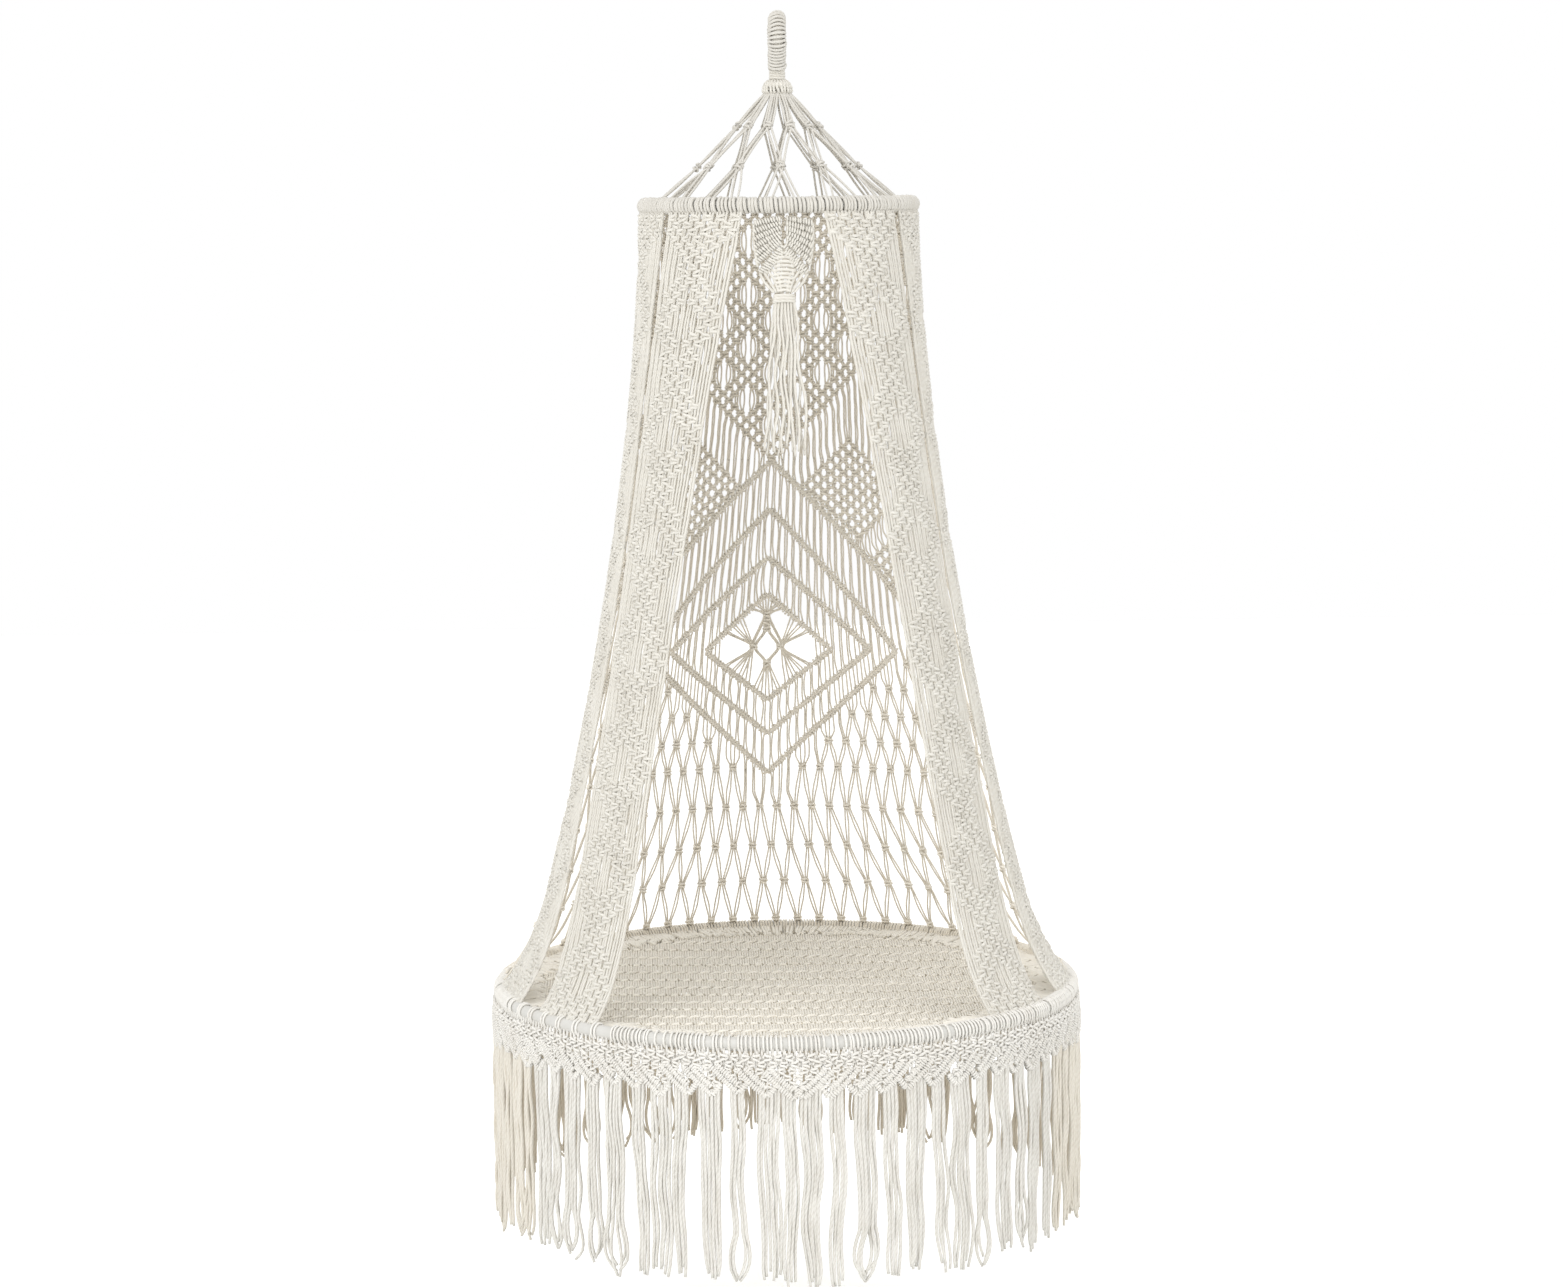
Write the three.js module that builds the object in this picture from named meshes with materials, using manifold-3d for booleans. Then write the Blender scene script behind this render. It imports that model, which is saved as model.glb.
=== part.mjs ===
// A round hammock chair of knotted cotton cord: a small steel hoop hangs from a whipped loop,
// knotted panels run down to a large steel hoop, and a woven seat fills the large hoop.
// Units are millimetres. The hook bears on the inside of the loop at the origin, +Z is up,
// the open front faces -Y and the sitter's left is +X. Angles run from the front, to +X.
import * as THREE from 'three';
import { mergeVertices } from 'three/addons/utils/BufferGeometryUtils.js';
import Module from 'manifold-3d';

const wasm = await Module();
wasm.setup();

// Overall sizes
const upperHoopDrop = 241; // hanging point down to the middle of the upper hoop
const upperHoopDiameter = 363; // between the middles of the tube
const seatHoopDrop = 1320;
const seatHoopDiameter = 792;

// Cord, tube and fit
const cord = 4.2;
const clearance = 0.4; // kept between pieces that touch
const upperTube = 14;
const seatTube = 18;
const panelThickness = 5;
const drawnIn = 0.4; // how far a sheet's edges are drawn in between its corners
const unevenness = 0.05; // how far the knotted cords stray from a true line

// Hanging loop and its whipping
const bundle = 16.4; // the cords that make the loop, bound together
const eyeWidth = 30;
const eyeHeight = 46;
const whippingTurns = 20;
const whippingStepsPerTurn = 9;
const legSpacing = 20; // between the middles of the two legs where they meet

// Neck, where the loose cords bend and twist under the loop
const neckKnot = 20;
const collarDiameter = 34;
const collarRingDiameter = 44;
const collarRingHeight = 12;
const collarFloor = 3;

// Suspension net between the neck and the upper hoop
const netGroups = 12;
const netThickness = 5;
const upperKnotRow = { radius: 59, drop: 135 };
const lowerKnotRow = { radius: 111, drop: 189 };
const netCord = 7; // two cords lying side by side
const netKnot = 13;
const netCollarRoom = 3; // between the net's inner edge and the knots' ring

// Knotted panels
const panelTopDiameter = 376;
const frontOpeningTopAngle = 16; // half of the front opening, under the upper hoop
const frontOpeningFootAngle = 41;
const bandWidth = 122;
const bandGap = 10; // between neighbouring bands at the top
const bandGapSpread = 50; // added to it at the foot, in front of the side bands
const plainCordSlit = 2.6;
const netWindowRib = 7; // knotted cords between two windows of the back panel

// Front ornament
const ornamentWidth = 84;
const ornamentHeight = 107;
const ornamentThickness = 4;
const ornamentRoll = 6; // roll of knots that turns under the upper hoop
const gatherWidth = 34;
const gatherHeight = 12;
const gatherDepth = 12;
const tasselLength = 205;
const tasselStrands = 9;
const tasselStrand = 3;
const tasselSpread = 54; // the tassel's width at its foot

// Seat weave and valance
const weaveThickness = 7;
const weaveSag = 8;
const weaveRim = 24;
const valanceLeaves = 36;
const leavesPerPiece = 3;
const leafHeight = 58;
const leafValley = 24; // height of the knots between two leaves
const leafTip = 26;
const hitchWidth = 8;
const hitchRoom = 17; // from a hitch's bend down to the knots of the valance
const strandsPerLeaf = 3;
const strandWidth = 6; // two cords of the fringe side by side
const fringeLength = 320; // middle of the seat hoop down to the ends of the fringe
const raggedEnd = 14; // how much shorter the shortest strand is

const upperHoopRadius = upperHoopDiameter / 2;
const seatHoopRadius = seatHoopDiameter / 2;
const wrapInner = upperTube / 2 + clearance;
const wrapOuter = wrapInner + cord;
const collarSides = 20;
const upperSegments = 36;
const seatSegments = 48;
const seatTubeSides = 8;
const wrapSides = 8;
const degree = Math.PI / 180;
const full = 2 * Math.PI;

const cottonColour = 0xe9e4d6;
const shadeColour = 0xdcd4c1;
const steelColour = 0xf1f0ec;
const chair = new THREE.Group();

function addPiece(name, geometry, colour = cottonColour, roughness = 0.95, metalness = 0) {
  const material = new THREE.MeshStandardMaterial({ color: colour, roughness, metalness });
  const mesh = new THREE.Mesh(geometry, material);
  mesh.name = name;
  chair.add(mesh);
  return mesh;
}

// Geometry with only positions, shared corners merged and its faces pointing out
function weld(geometry) {
  geometry.deleteAttribute('normal');
  geometry.deleteAttribute('uv');
  const welded = mergeVertices(geometry);
  const place = welded.getAttribute('position');
  const corners = [new THREE.Vector3(), new THREE.Vector3(), new THREE.Vector3()];
  const index = Array.from(welded.index.array);
  const kept = [];
  let volume = 0;
  for (let i = 0; i < index.length; i += 3) {
    const [a, b, c] = index.slice(i, i + 3);
    if (a === b || b === c || a === c) continue;
    corners.forEach((corner, k) => corner.fromBufferAttribute(place, [a, b, c][k]));
    volume += corners[0].dot(corners[1].clone().cross(corners[2]));
    kept.push(a, b, c);
  }
  welded.setIndex(volume < 0 ? kept.reverse() : kept);
  return welded;
}

function solidOf(geometry) {
  const welded = weld(geometry);
  const vertProperties = new Float32Array(welded.getAttribute('position').array);
  const triVerts = new Uint32Array(welded.index.array);
  return new wasm.Manifold(new wasm.Mesh({ numProp: 3, vertProperties, triVerts }));
}

function geometryOf(solid) {
  const mesh = solid.getMesh();
  const geometry = new THREE.BufferGeometry();
  geometry.setAttribute('position', new THREE.BufferAttribute(mesh.vertProperties, mesh.numProp));
  geometry.setIndex(new THREE.BufferAttribute(mesh.triVerts, 1));
  return geometry;
}

function uneven([a, b]) {
  const turn = (7 * a + 11 * b) / cord;
  return new THREE.Vector2(a + unevenness * Math.sin(turn), b + unevenness * Math.cos(3 * turn));
}

// Flat outline with gaps, given thickness and then bent: bend(a, b, side) places a flat point,
// where side is -1 on the inner face and 1 on the outer face
function bentSheet(outline, gaps, bend) {
  const shape = new THREE.Shape(outline.map(([a, b]) => new THREE.Vector2(a, b)));
  for (const gap of gaps) shape.holes.push(new THREE.Path(gap.map(uneven)));
  const geometry = new THREE.ExtrudeGeometry(shape, { depth: 2, steps: 1, bevelEnabled: false });
  const place = geometry.getAttribute('position');
  for (let i = 0; i < place.count; i += 1) {
    const point = bend(place.getX(i), place.getY(i), place.getZ(i) - 1);
    place.setXYZ(i, point.x, point.y, point.z);
  }
  return weld(geometry);
}

// Sheet of cells between lines across and lines down, with those that isFilled refuses left open:
// place(line, row, side) gives each corner, where side is -1 on the inner face and 1 on the outer
function cellSheet(columns, rows, isFilled, place) {
  const filled = (i, j) => i >= 0 && j >= 0 && i < columns && j < rows && isFilled(i, j);
  const corner = (i, j, side) => (i * (rows + 1) + j) * 2 + (side < 0 ? 0 : 1);
  const points = [];
  const index = [];
  for (let i = 0; i <= columns; i += 1) {
    for (let j = 0; j <= rows; j += 1) {
      for (const side of [-1, 1]) points.push(...place(i, j, side).toArray());
    }
  }
  const addQuad = (a, b, c, d) => index.push(a, b, c, a, c, d);
  const addWall = (i0, j0, i1, j1) => {
    addQuad(corner(i1, j1, -1), corner(i1, j1, 1), corner(i0, j0, 1), corner(i0, j0, -1));
  };
  for (let i = 0; i < columns; i += 1) {
    for (let j = 0; j < rows; j += 1) {
      if (!filled(i, j)) continue;
      addQuad(corner(i, j, 1), corner(i, j + 1, 1), corner(i + 1, j + 1, 1), corner(i + 1, j, 1));
      addQuad(corner(i, j, -1), corner(i + 1, j, -1), corner(i + 1, j + 1, -1), corner(i, j + 1, -1));
      if (!filled(i - 1, j)) addWall(i, j, i, j + 1);
      if (!filled(i + 1, j)) addWall(i + 1, j + 1, i + 1, j);
      if (!filled(i, j - 1)) addWall(i + 1, j, i, j);
      if (!filled(i, j + 1)) addWall(i, j + 1, i + 1, j + 1);
    }
  }
  const geometry = new THREE.BufferGeometry();
  geometry.setAttribute('position', new THREE.Float32BufferAttribute(points, 3));
  geometry.setIndex(index);
  return weld(geometry);
}

function around(radius, angle, z) {
  return new THREE.Vector3(radius * Math.sin(angle), -radius * Math.cos(angle), z);
}

// Points from one corner up to the next, the last left out, on a line drawn in a little to the left
function divided(from, to, count) {
  const along = new THREE.Vector2(to[0] - from[0], to[1] - from[1]);
  const inward = new THREE.Vector2(-along.y, along.x).setLength(drawnIn);
  const points = [];
  for (let i = 0; i < count; i += 1) {
    const share = i / count;
    const bow = 4 * share * (1 - share);
    points.push([from[0] + along.x * share + inward.x * bow, from[1] + along.y * share + inward.y * bow]);
  }
  return points;
}

function rectangle(a0, b0, a1, b1, acrossCount, downCount) {
  return [
    ...divided([a0, b0], [a1, b0], acrossCount),
    ...divided([a1, b0], [a1, b1], downCount),
    ...divided([a1, b1], [a0, b1], acrossCount),
    ...divided([a0, b1], [a0, b0], downCount),
  ];
}

// Closed ring about Z from a closed section of [radius, z] points
function ring(section, segments, tubeRadius = 0, tubeDrop = 0, ribDepth = 0) {
  const closed = [...section, section[0]].map(([r, z]) => new THREE.Vector2(r, z));
  const geometry = new THREE.LatheGeometry(closed, segments);
  const place = geometry.getAttribute('position');
  const turned = new THREE.Vector3();
  for (let i = 0; i < place.count; i += 1) {
    turned.fromBufferAttribute(place, i);
    const column = Math.floor(i / closed.length) % segments;
    let radius = Math.hypot(turned.x, turned.z);
    let height = turned.y;
    const [across, up] = [radius - tubeRadius, height + tubeDrop];
    const reach = Math.hypot(across, up);
    const onOutside = reach > wrapInner + cord / 2;
    if (ribDepth > 0 && onOutside && column % 2 === 1) {
      radius = tubeRadius + across * (1 - ribDepth / reach);
      height = up * (1 - ribDepth / reach) - tubeDrop;
    }
    const spot = around(radius, (column / segments) * full, height);
    place.setXYZ(i, spot.x, spot.y, spot.z);
  }
  return weld(geometry);
}

// Round section of a hoop's tube, as [radius, z] points
function tubeSection(hoopRadius, drop, tubeRadius, sides) {
  const points = [];
  for (let i = 0; i < sides; i += 1) {
    const angle = ((i + 0.5) / sides) * full;
    points.push([hoopRadius + tubeRadius * Math.cos(angle), tubeRadius * Math.sin(angle) - drop]);
  }
  return points;
}

// Hanging loop: a teardrop of bundled cords standing in the YZ plane
const whippingOuter = bundle / 2 + clearance + cord;
const loopRadius = eyeWidth / 2 + whippingOuter;
const loopMiddle = whippingOuter - loopRadius;
const neckCentre = -(eyeHeight + whippingOuter + neckKnot / 2);
const legFoot = neckCentre + neckKnot / 2 + clearance;

const legReach = Math.hypot(legSpacing / 2, loopMiddle - legFoot);
const legLength = Math.sqrt(legReach ** 2 - loopRadius ** 2);
const legAngle = Math.acos(loopRadius / legReach) - Math.atan2(loopMiddle - legFoot, legSpacing / 2);

const legFall = (legFoot - neckCentre) * Math.cos(legAngle) - (legSpacing / 2) * Math.sin(legAngle);
const legExtra = legFall - neckKnot / 2 - clearance; // down to the knot that the legs run into

// Two straight legs that run into the round of the loop
class LoopLine extends THREE.Curve {
  getPoint(share, target = new THREE.Vector3()) {
    const leg = legLength + legExtra;
    const length = 2 * leg + (Math.PI - 2 * legAngle) * loopRadius;
    const side = share < 0.5 ? -1 : 1;
    const along = Math.min(share, 1 - share) * length;
    const angle = legAngle + Math.max(along - leg, 0) / loopRadius;
    target.set(0, loopRadius * Math.cos(angle), loopMiddle + loopRadius * Math.sin(angle));
    if (along < leg) {
      target.y += Math.sin(legAngle) * (leg - along);
      target.z -= Math.cos(legAngle) * (leg - along);
    }
    target.y *= side;
    return target;
  }
}

class WhippingLine extends THREE.Curve {
  constructor(core, radius, startShare) {
    super();
    Object.assign(this, { core, radius, startShare });
    this.arcLengthDivisions = whippingTurns * whippingStepsPerTurn * 2;
  }

  getPoint(share, target = new THREE.Vector3()) {
    const along = this.startShare + (1 - 2 * this.startShare) * share;
    const centre = this.core.getPointAt(along);
    const tangent = this.core.getTangentAt(along);
    const sideways = new THREE.Vector3(1, 0, 0);
    const outward = new THREE.Vector3().crossVectors(tangent, sideways);
    const turn = full * whippingTurns * share;
    target.copy(centre).addScaledVector(sideways, this.radius * Math.cos(turn));
    return target.addScaledVector(outward, this.radius * Math.sin(turn));
  }
}

function roundSection(radius, sides) {
  const points = [];
  for (let i = 0; i < sides; i += 1) {
    const angle = (i / sides) * full;
    points.push(new THREE.Vector2(radius * Math.cos(angle), radius * Math.sin(angle)));
  }
  return new THREE.Shape(points);
}

function leastSelfGap(line, turns, stepsPerTurn, thickness) {
  const perTurn = stepsPerTurn * 4;
  const points = line.getSpacedPoints(turns * perTurn);
  let least = Infinity;
  for (let i = 0; i < points.length; i += 1) {
    for (let j = i + perTurn / 2; j < points.length; j += 1) {
      least = Math.min(least, points[i].distanceTo(points[j]) - thickness);
    }
  }
  return least;
}

function addHangingLoop() {
  const core = new LoopLine();
  core.arcLengthDivisions = whippingTurns * whippingStepsPerTurn;
  const coreOptions = { steps: 24, bevelEnabled: false, extrudePath: core };
  const coreShape = roundSection(bundle / 2, 8);
  addPiece('hanging_loop', weld(new THREE.ExtrudeGeometry(coreShape, coreOptions)), shadeColour);
  const radius = (whippingOuter - cord / 2) / Math.cos(Math.PI / whippingStepsPerTurn);
  const roomAtLegs = radius + cord / 2 + clearance;
  const stepShare = 1 / 200;
  let startShare = 0;
  while (Math.abs(core.getPointAt(startShare).y) < roomAtLegs) startShare += stepShare;
  const line = new WhippingLine(core, radius, startShare);
  const options = { steps: whippingTurns * whippingStepsPerTurn, bevelEnabled: false, extrudePath: line };
  const shape = roundSection(cord / 2, 5);
  addPiece('loop_whipping', weld(new THREE.ExtrudeGeometry(shape, options)));
  const gap = leastSelfGap(line, whippingTurns, whippingStepsPerTurn, cord);
  console.log(`loop whipping: least gap to itself ${gap.toFixed(2)} mm`);
}

// Neck: a bound knot, the cup that it turns in and the ring of knots round the cup
function addNeck() {
  const knot = new THREE.SphereGeometry(neckKnot / 2, 12, 8);
  knot.translate(0, 0, neckCentre);
  addPiece('neck_knot', weld(knot));

  const socket = neckKnot / 2 + 2 * clearance;
  const cupTop = neckCentre - neckKnot / 6;
  const cupFoot = neckCentre - socket - collarFloor;
  const profile = [];
  const rimAngle = Math.asin((neckCentre - cupTop) / socket);
  for (let i = 0; i <= 4; i += 1) {
    const angle = -Math.PI / 2 + (i / 4) * (Math.PI / 2 - rimAngle);
    profile.push([socket * Math.cos(angle), neckCentre + socket * Math.sin(angle)]);
  }
  const cup = collarDiameter / 2;
  const bevel = collarFloor;
  profile.push([cup - bevel, cupTop], [cup, cupTop - bevel], [cup, cupFoot + bevel]);
  profile.push([cup - bevel, cupFoot], [0, cupFoot]);
  profile[0][0] = 0;
  addPiece('neck_collar', ring(profile, collarSides), shadeColour);

  const ringTop = cupTop;
  const ringFoot = ringTop - collarRingHeight;
  const inner = (cup + clearance) / Math.cos(Math.PI / collarSides);
  const outer = collarRingDiameter / 2;
  const swell = (outer - inner) / 2;
  const knots = [[inner, ringFoot], [outer - swell, ringFoot], [outer, ringFoot + swell]];
  knots.push([outer, ringTop - swell], [outer - swell, ringTop], [inner, ringTop]);
  addPiece('collar_knots', ring(knots, collarSides));
  return { foot: ringFoot, inner, outer };
}

// Suspension net: twelve groups of cords, two rows of knots, landing on the upper hoop's inner side
function addSuspensionNet(collar) {
  const half = netThickness / 2;
  const start = collar.inner;
  const startZ = collar.foot - clearance - half;
  const rimRadius = upperHoopRadius - wrapOuter - clearance;
  const stations = [[start, startZ], [collar.outer + netCollarRoom, startZ]];
  stations.push([upperKnotRow.radius, -upperKnotRow.drop]);
  stations.push([lowerKnotRow.radius, -lowerKnotRow.drop], [rimRadius, -upperHoopDrop]);
  const heightAt = (radius) => {
    const next = stations.findIndex(([r]) => r >= radius);
    const end = stations[next < 1 ? stations.length - 1 : next];
    const begin = stations[next < 1 ? stations.length - 2 : next - 1];
    return begin[1] + ((end[1] - begin[1]) * (radius - begin[0])) / (end[0] - begin[0]);
  };
  const polar = (radius, angle) => [radius * Math.sin(angle), -radius * Math.cos(angle)];
  const step = full / netGroups;
  const first = upperKnotRow.radius;
  const second = lowerKnotRow.radius;
  const knotAngle = (radius, width) => width / 2 / radius;
  const outline = [];
  const gaps = [];
  for (let group = 0; group < netGroups; group += 1) {
    const knot = (group + 0.5) * step;
    const split = group * step;
    const footAngle = step / 4;
    const footHalf = knotAngle(rimRadius, netCord);
    const foot = (angle) => [polar(rimRadius, angle - footHalf), polar(rimRadius, angle + footHalf)];
    outline.push(...foot(split - footAngle), polar(second + netKnot, split), ...foot(split + footAngle));
    outline.push(polar(second, split + knotAngle(second, netKnot)), polar(first + netKnot, knot));
    outline.push(polar(second, split + step - knotAngle(second, netKnot)));
    const low = collar.outer + netCollarRoom;
    const halfLow = step / 2 - knotAngle(low, netCord);
    const halfFirst = step / 2 - knotAngle(first, netKnot);
    gaps.push([
      polar(low, split - halfLow), polar(low, split + halfLow), polar(first, split + halfFirst),
      polar(second - netKnot, split), polar(first, split - halfFirst),
    ]);
  }
  const hole = [];
  for (let i = 0; i < collarSides; i += 1) hole.push(polar(start, (i / collarSides) * full));
  gaps.push(hole);
  const bend = (x, y, side) => new THREE.Vector3(x, y, heightAt(Math.hypot(x, y)) + side * half);
  addPiece('suspension_net', bentSheet(outline, gaps, bend));
}

// Hoops of steel tube, the upper one inside a close wrapping with a seam along its inner side
function addHoops() {
  const upperSection = tubeSection(upperHoopRadius, upperHoopDrop, upperTube / 2, 6);
  addPiece('upper_hoop', ring(upperSection, upperSegments), steelColour, 0.5, 0.6);
  const seamHalfAngle = 12;
  const innerSides = 6;
  const open = (full / 360) * seamHalfAngle;
  const innerReach = wrapInner / Math.cos((Math.PI - open) / innerSides);
  const wrapSpot = (reach, share) => {
    const angle = Math.PI + open + share * (full - 2 * open);
    return [upperHoopRadius + reach * Math.cos(angle), reach * Math.sin(angle) - upperHoopDrop];
  };
  const wrap = [];
  for (let i = 0; i <= wrapSides; i += 1) wrap.push(wrapSpot(wrapOuter, i / wrapSides));
  for (let i = innerSides; i >= 0; i -= 1) wrap.push(wrapSpot(innerReach, i / innerSides));
  addPiece('upper_hoop_wrap', ring(wrap, upperSegments, upperHoopRadius, upperHoopDrop, cord / 4));
  const seatSection = tubeSection(seatHoopRadius, seatHoopDrop, seatTube / 2, seatTubeSides);
  addPiece('seat_hoop', ring(seatSection, seatSegments), steelColour, 0.45, 0.3);
}

// Panels hang on one surface that is drawn in at the waist and flares over the seat hoop
const panelTopRadius = panelTopDiameter / 2;
const panelTop = -(upperHoopDrop + wrapOuter * Math.cos(Math.PI / wrapSides) + clearance);
const panelFoot = -seatHoopDrop + (seatTube / 2) * Math.cos(Math.PI / seatTubeSides) + clearance;
const waistShare = 0.83;

function panelRadius(share) {
  const down = Math.max(share, 0);
  const flare = waistShare * down ** 1.64 + (1 - waistShare) * down ** 22;
  return panelTopRadius + (seatHoopRadius - panelTopRadius) * flare;
}

function onPanel(angle, share, side) {
  const radius = panelRadius(share) + (side * panelThickness) / 2;
  return around(radius, angle, panelTop + (panelFoot - panelTop) * share);
}

function frontEdge(share) {
  const spread = frontOpeningFootAngle - frontOpeningTopAngle;
  return (frontOpeningTopAngle + spread * (1 - (1 - share) ** 3)) * degree;
}

const frontBandEnd = (share) => frontEdge(share) + bandWidth / panelRadius(share);
const sideGap = (share) => (bandGap + bandGapSpread * share ** 3) / panelRadius(share);
const sideBandStart = (share) => frontBandEnd(share) + sideGap(share);
const sideBandEnd = (share) => sideBandStart(share) + bandWidth / panelRadius(share);
const backStart = (share) => sideBandEnd(share) + bandGap / panelRadius(share);

// Slits between the plain cords inside the knotted zigzag, longest in the middle of each diamond
function bandSlits() {
  const diamonds = 5;
  const slitsAcross = 4;
  const headShare = 0.1;
  const footShare = 0.03;
  const longestShare = 0.36;
  const shorterShare = 0.4;
  const slits = [];
  for (let row = 0; row < diamonds; row += 1) {
    const rowShare = (1 - headShare - footShare) / diamonds;
    const middle = headShare + (row + 0.5) * rowShare;
    for (let i = 0; i < slitsAcross; i += 1) {
      const across = ((i + 1) / (slitsAcross + 1)) * bandWidth;
      const offCentre = Math.abs(i - (slitsAcross - 1) / 2) / slitsAcross;
      const reachShare = rowShare * (longestShare - shorterShare * offCentre);
      const half = plainCordSlit / 2;
      slits.push([
        [across - half, middle - reachShare], [across + half, middle - reachShare],
        [across + half, middle + reachShare], [across - half, middle + reachShare],
      ]);
    }
  }
  return slits;
}

function addBand(name, start, mirror) {
  const downCount = 16;
  const length = panelTop - panelFoot;
  const outline = rectangle(0, 0, bandWidth, length, 3, downCount);
  const slits = bandSlits().map((slit) => slit.map(([a, share]) => [a, share * length]));
  const bend = (a, b, side) => {
    const share = b / length;
    return onPanel(mirror * (start(share) + a / panelRadius(share)), share, side);
  };
  addPiece(name, bentSheet(outline, slits, bend));
}

// Back panel, in four columns of three zones: a lattice, nested diamonds and an open net
const backColumns = 4;
const zoneShares = [0, 0.32, 0.77, 1];
const chevronTopShare = 0.337;
const rhombusTopShares = [0.402, 0.468, 0.519];
const rhombusFootShares = [0.768, 0.713, 0.665];
const rhombusReachShares = [0.52, 0.41, 0.25];
const rhombusMiddleShare = 0.594;
const chevronReachShare = 0.75;

function backAngle(across, share) {
  const edge = backStart(share);
  return edge + (full - 2 * edge) * across;
}

function diamondWindow(across, share, halfAcross, halfDown) {
  return [
    [across, share - halfDown], [across + halfAcross, share],
    [across, share + halfDown], [across - halfAcross, share],
  ];
}

// Windows of a net of crossing cords, the odd rows moved by half a window
function netWindows(columnsAcross, rows, top, foot, left, right, ribShare) {
  const windows = [];
  const width = (right - left) / columnsAcross;
  const height = (foot - top) / rows;
  for (let row = 0; row < 2 * rows - 1; row += 1) {
    const odd = row % 2;
    const share = top + ((row + 1) / 2) * height;
    for (let i = 0; i < columnsAcross - odd; i += 1) {
      const across = left + (i + 0.5 + odd / 2) * width;
      const open = 1 - ribShare;
      windows.push(diamondWindow(across, share, (width / 2) * open, (height / 2) * open));
    }
  }
  return windows;
}

// Slits between pairs of cords, ending at the slanting rows of half hitches that they cross
function rhombusSlits(column) {
  const columnsAcross = 6;
  const slits = [];
  const ribShare = netWindowRib / (panelTop - panelFoot);
  const openShare = 0.3;
  const edgeFallShare = 0.2;
  const slitHalf = openShare / columnsAcross / backColumns;
  for (let i = 0; i < columnsAcross; i += 1) {
    const across = (column + (i + 0.5) / columnsAcross) / backColumns;
    const off = Math.abs(2 * across - 1);
    const fall = (top, reach) => top + ((rhombusMiddleShare - top) * off) / reach;
    const crossings = [zoneShares[1], fall(chevronTopShare, chevronReachShare)];
    rhombusReachShares.forEach((reach, k) => {
      if (off < reach) crossings.push(fall(rhombusTopShares[k], reach), fall(rhombusFootShares[k], reach));
    });
    const beyond = off - rhombusReachShares[0];
    if (beyond >= 0) crossings.push(rhombusMiddleShare + beyond * edgeFallShare);
    crossings.push(zoneShares[2] - ribShare);
    crossings.sort((a, b) => a - b);
    for (let k = 0; k + 1 < crossings.length; k += 1) {
      const [from, to] = [crossings[k] + ribShare, crossings[k + 1] - ribShare];
      if (to - from < 2 * ribShare) continue;
      slits.push([
        [across - slitHalf, from], [across + slitHalf, from],
        [across + slitHalf, to], [across - slitHalf, to],
      ]);
    }
  }
  return slits;
}

function addBackPanel() {
  const width = full * panelRadius(0.5);
  const length = panelTop - panelFoot;
  const columnNames = ['right', 'inner_right', 'inner_left', 'left'];
  const edgeAcrossShare = clearance / width;
  const edgeDownShare = clearance / 2 / length;
  const sideRibShare = 0.01;
  const endRibShare = 0.01;
  const latticeRibShare = 0.24;
  const netRibShare = 0.2;
  for (let column = 0; column < backColumns; column += 1) {
    const left = column / backColumns + edgeAcrossShare;
    const right = (column + 1) / backColumns - edgeAcrossShare;
    const fillZone = (zone, columnsAcross, rows, ribShare) => {
      const [top, foot] = [zoneShares[zone] + endRibShare, zoneShares[zone + 1] - endRibShare];
      return netWindows(columnsAcross, rows, top, foot, left + sideRibShare, right - sideRibShare, ribShare);
    };
    const fills = [fillZone(0, 2, 4, latticeRibShare), rhombusSlits(column), fillZone(2, 4, 3, netRibShare)];
    ['lattice', 'diamond', 'net'].forEach((zone, k) => {
      const top = zoneShares[k] + (k > 0 ? edgeDownShare : 0);
      const foot = zoneShares[k + 1] - (k < 2 ? edgeDownShare : 0);
      const outline = rectangle(left * width, top * length, right * width, foot * length, 4, k === 2 ? 8 : 5);
      const flat = (points) => points.map(([a, b]) => [a * width, b * length]);
      const bend = (a, b, side) => onPanel(backAngle(a / width, b / length), b / length, side);
      const sheet = bentSheet(outline, fills[k].map(flat), bend);
      addPiece(`back_${zone}_${columnNames[column]}`, sheet, shadeColour);
    });
  }
}

// Front ornament: two ribbed leaves over a ribbed diamond, a gather and a tassel
const rollRadius = ornamentRoll / 2;
const rollZ = -(upperHoopDrop + wrapOuter + clearance + rollRadius);
const ornamentTop = rollZ;
const seamRoom = clearance / 2;
const leafSlit = 1.2; // half of the slit between the leaves
const ridgeWidth = 7;
// Right halves, as shares of the ornament's width and height
const seamShares = [[0, 0.36], [0.4, 0.66]];
const leafShares = [[0.48, 0], [0.52, 0.2], [0.44, 0.6]];
const diamondFootShare = 0.19;

function ornamentSpot([acrossShare, downShare]) {
  return [acrossShare * ornamentWidth, ornamentTop - downShare * ornamentHeight];
}

// Solid plate of an outline of [x, z] points, thick along Y about the ornament's middle plane
function flatPlate(outline, thickness) {
  const shape = new THREE.Shape(outline.map(([x, z]) => new THREE.Vector2(x, z)));
  const geometry = new THREE.ExtrudeGeometry(shape, { depth: thickness, bevelEnabled: false });
  geometry.translate(0, 0, -thickness / 2);
  const turn = new THREE.Matrix4();
  turn.makeBasis(new THREE.Vector3(1, 0, 0), new THREE.Vector3(0, 0, 1), new THREE.Vector3(0, -1, 0));
  return geometry.applyMatrix4(turn).translate(0, -upperHoopRadius, 0);
}

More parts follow.
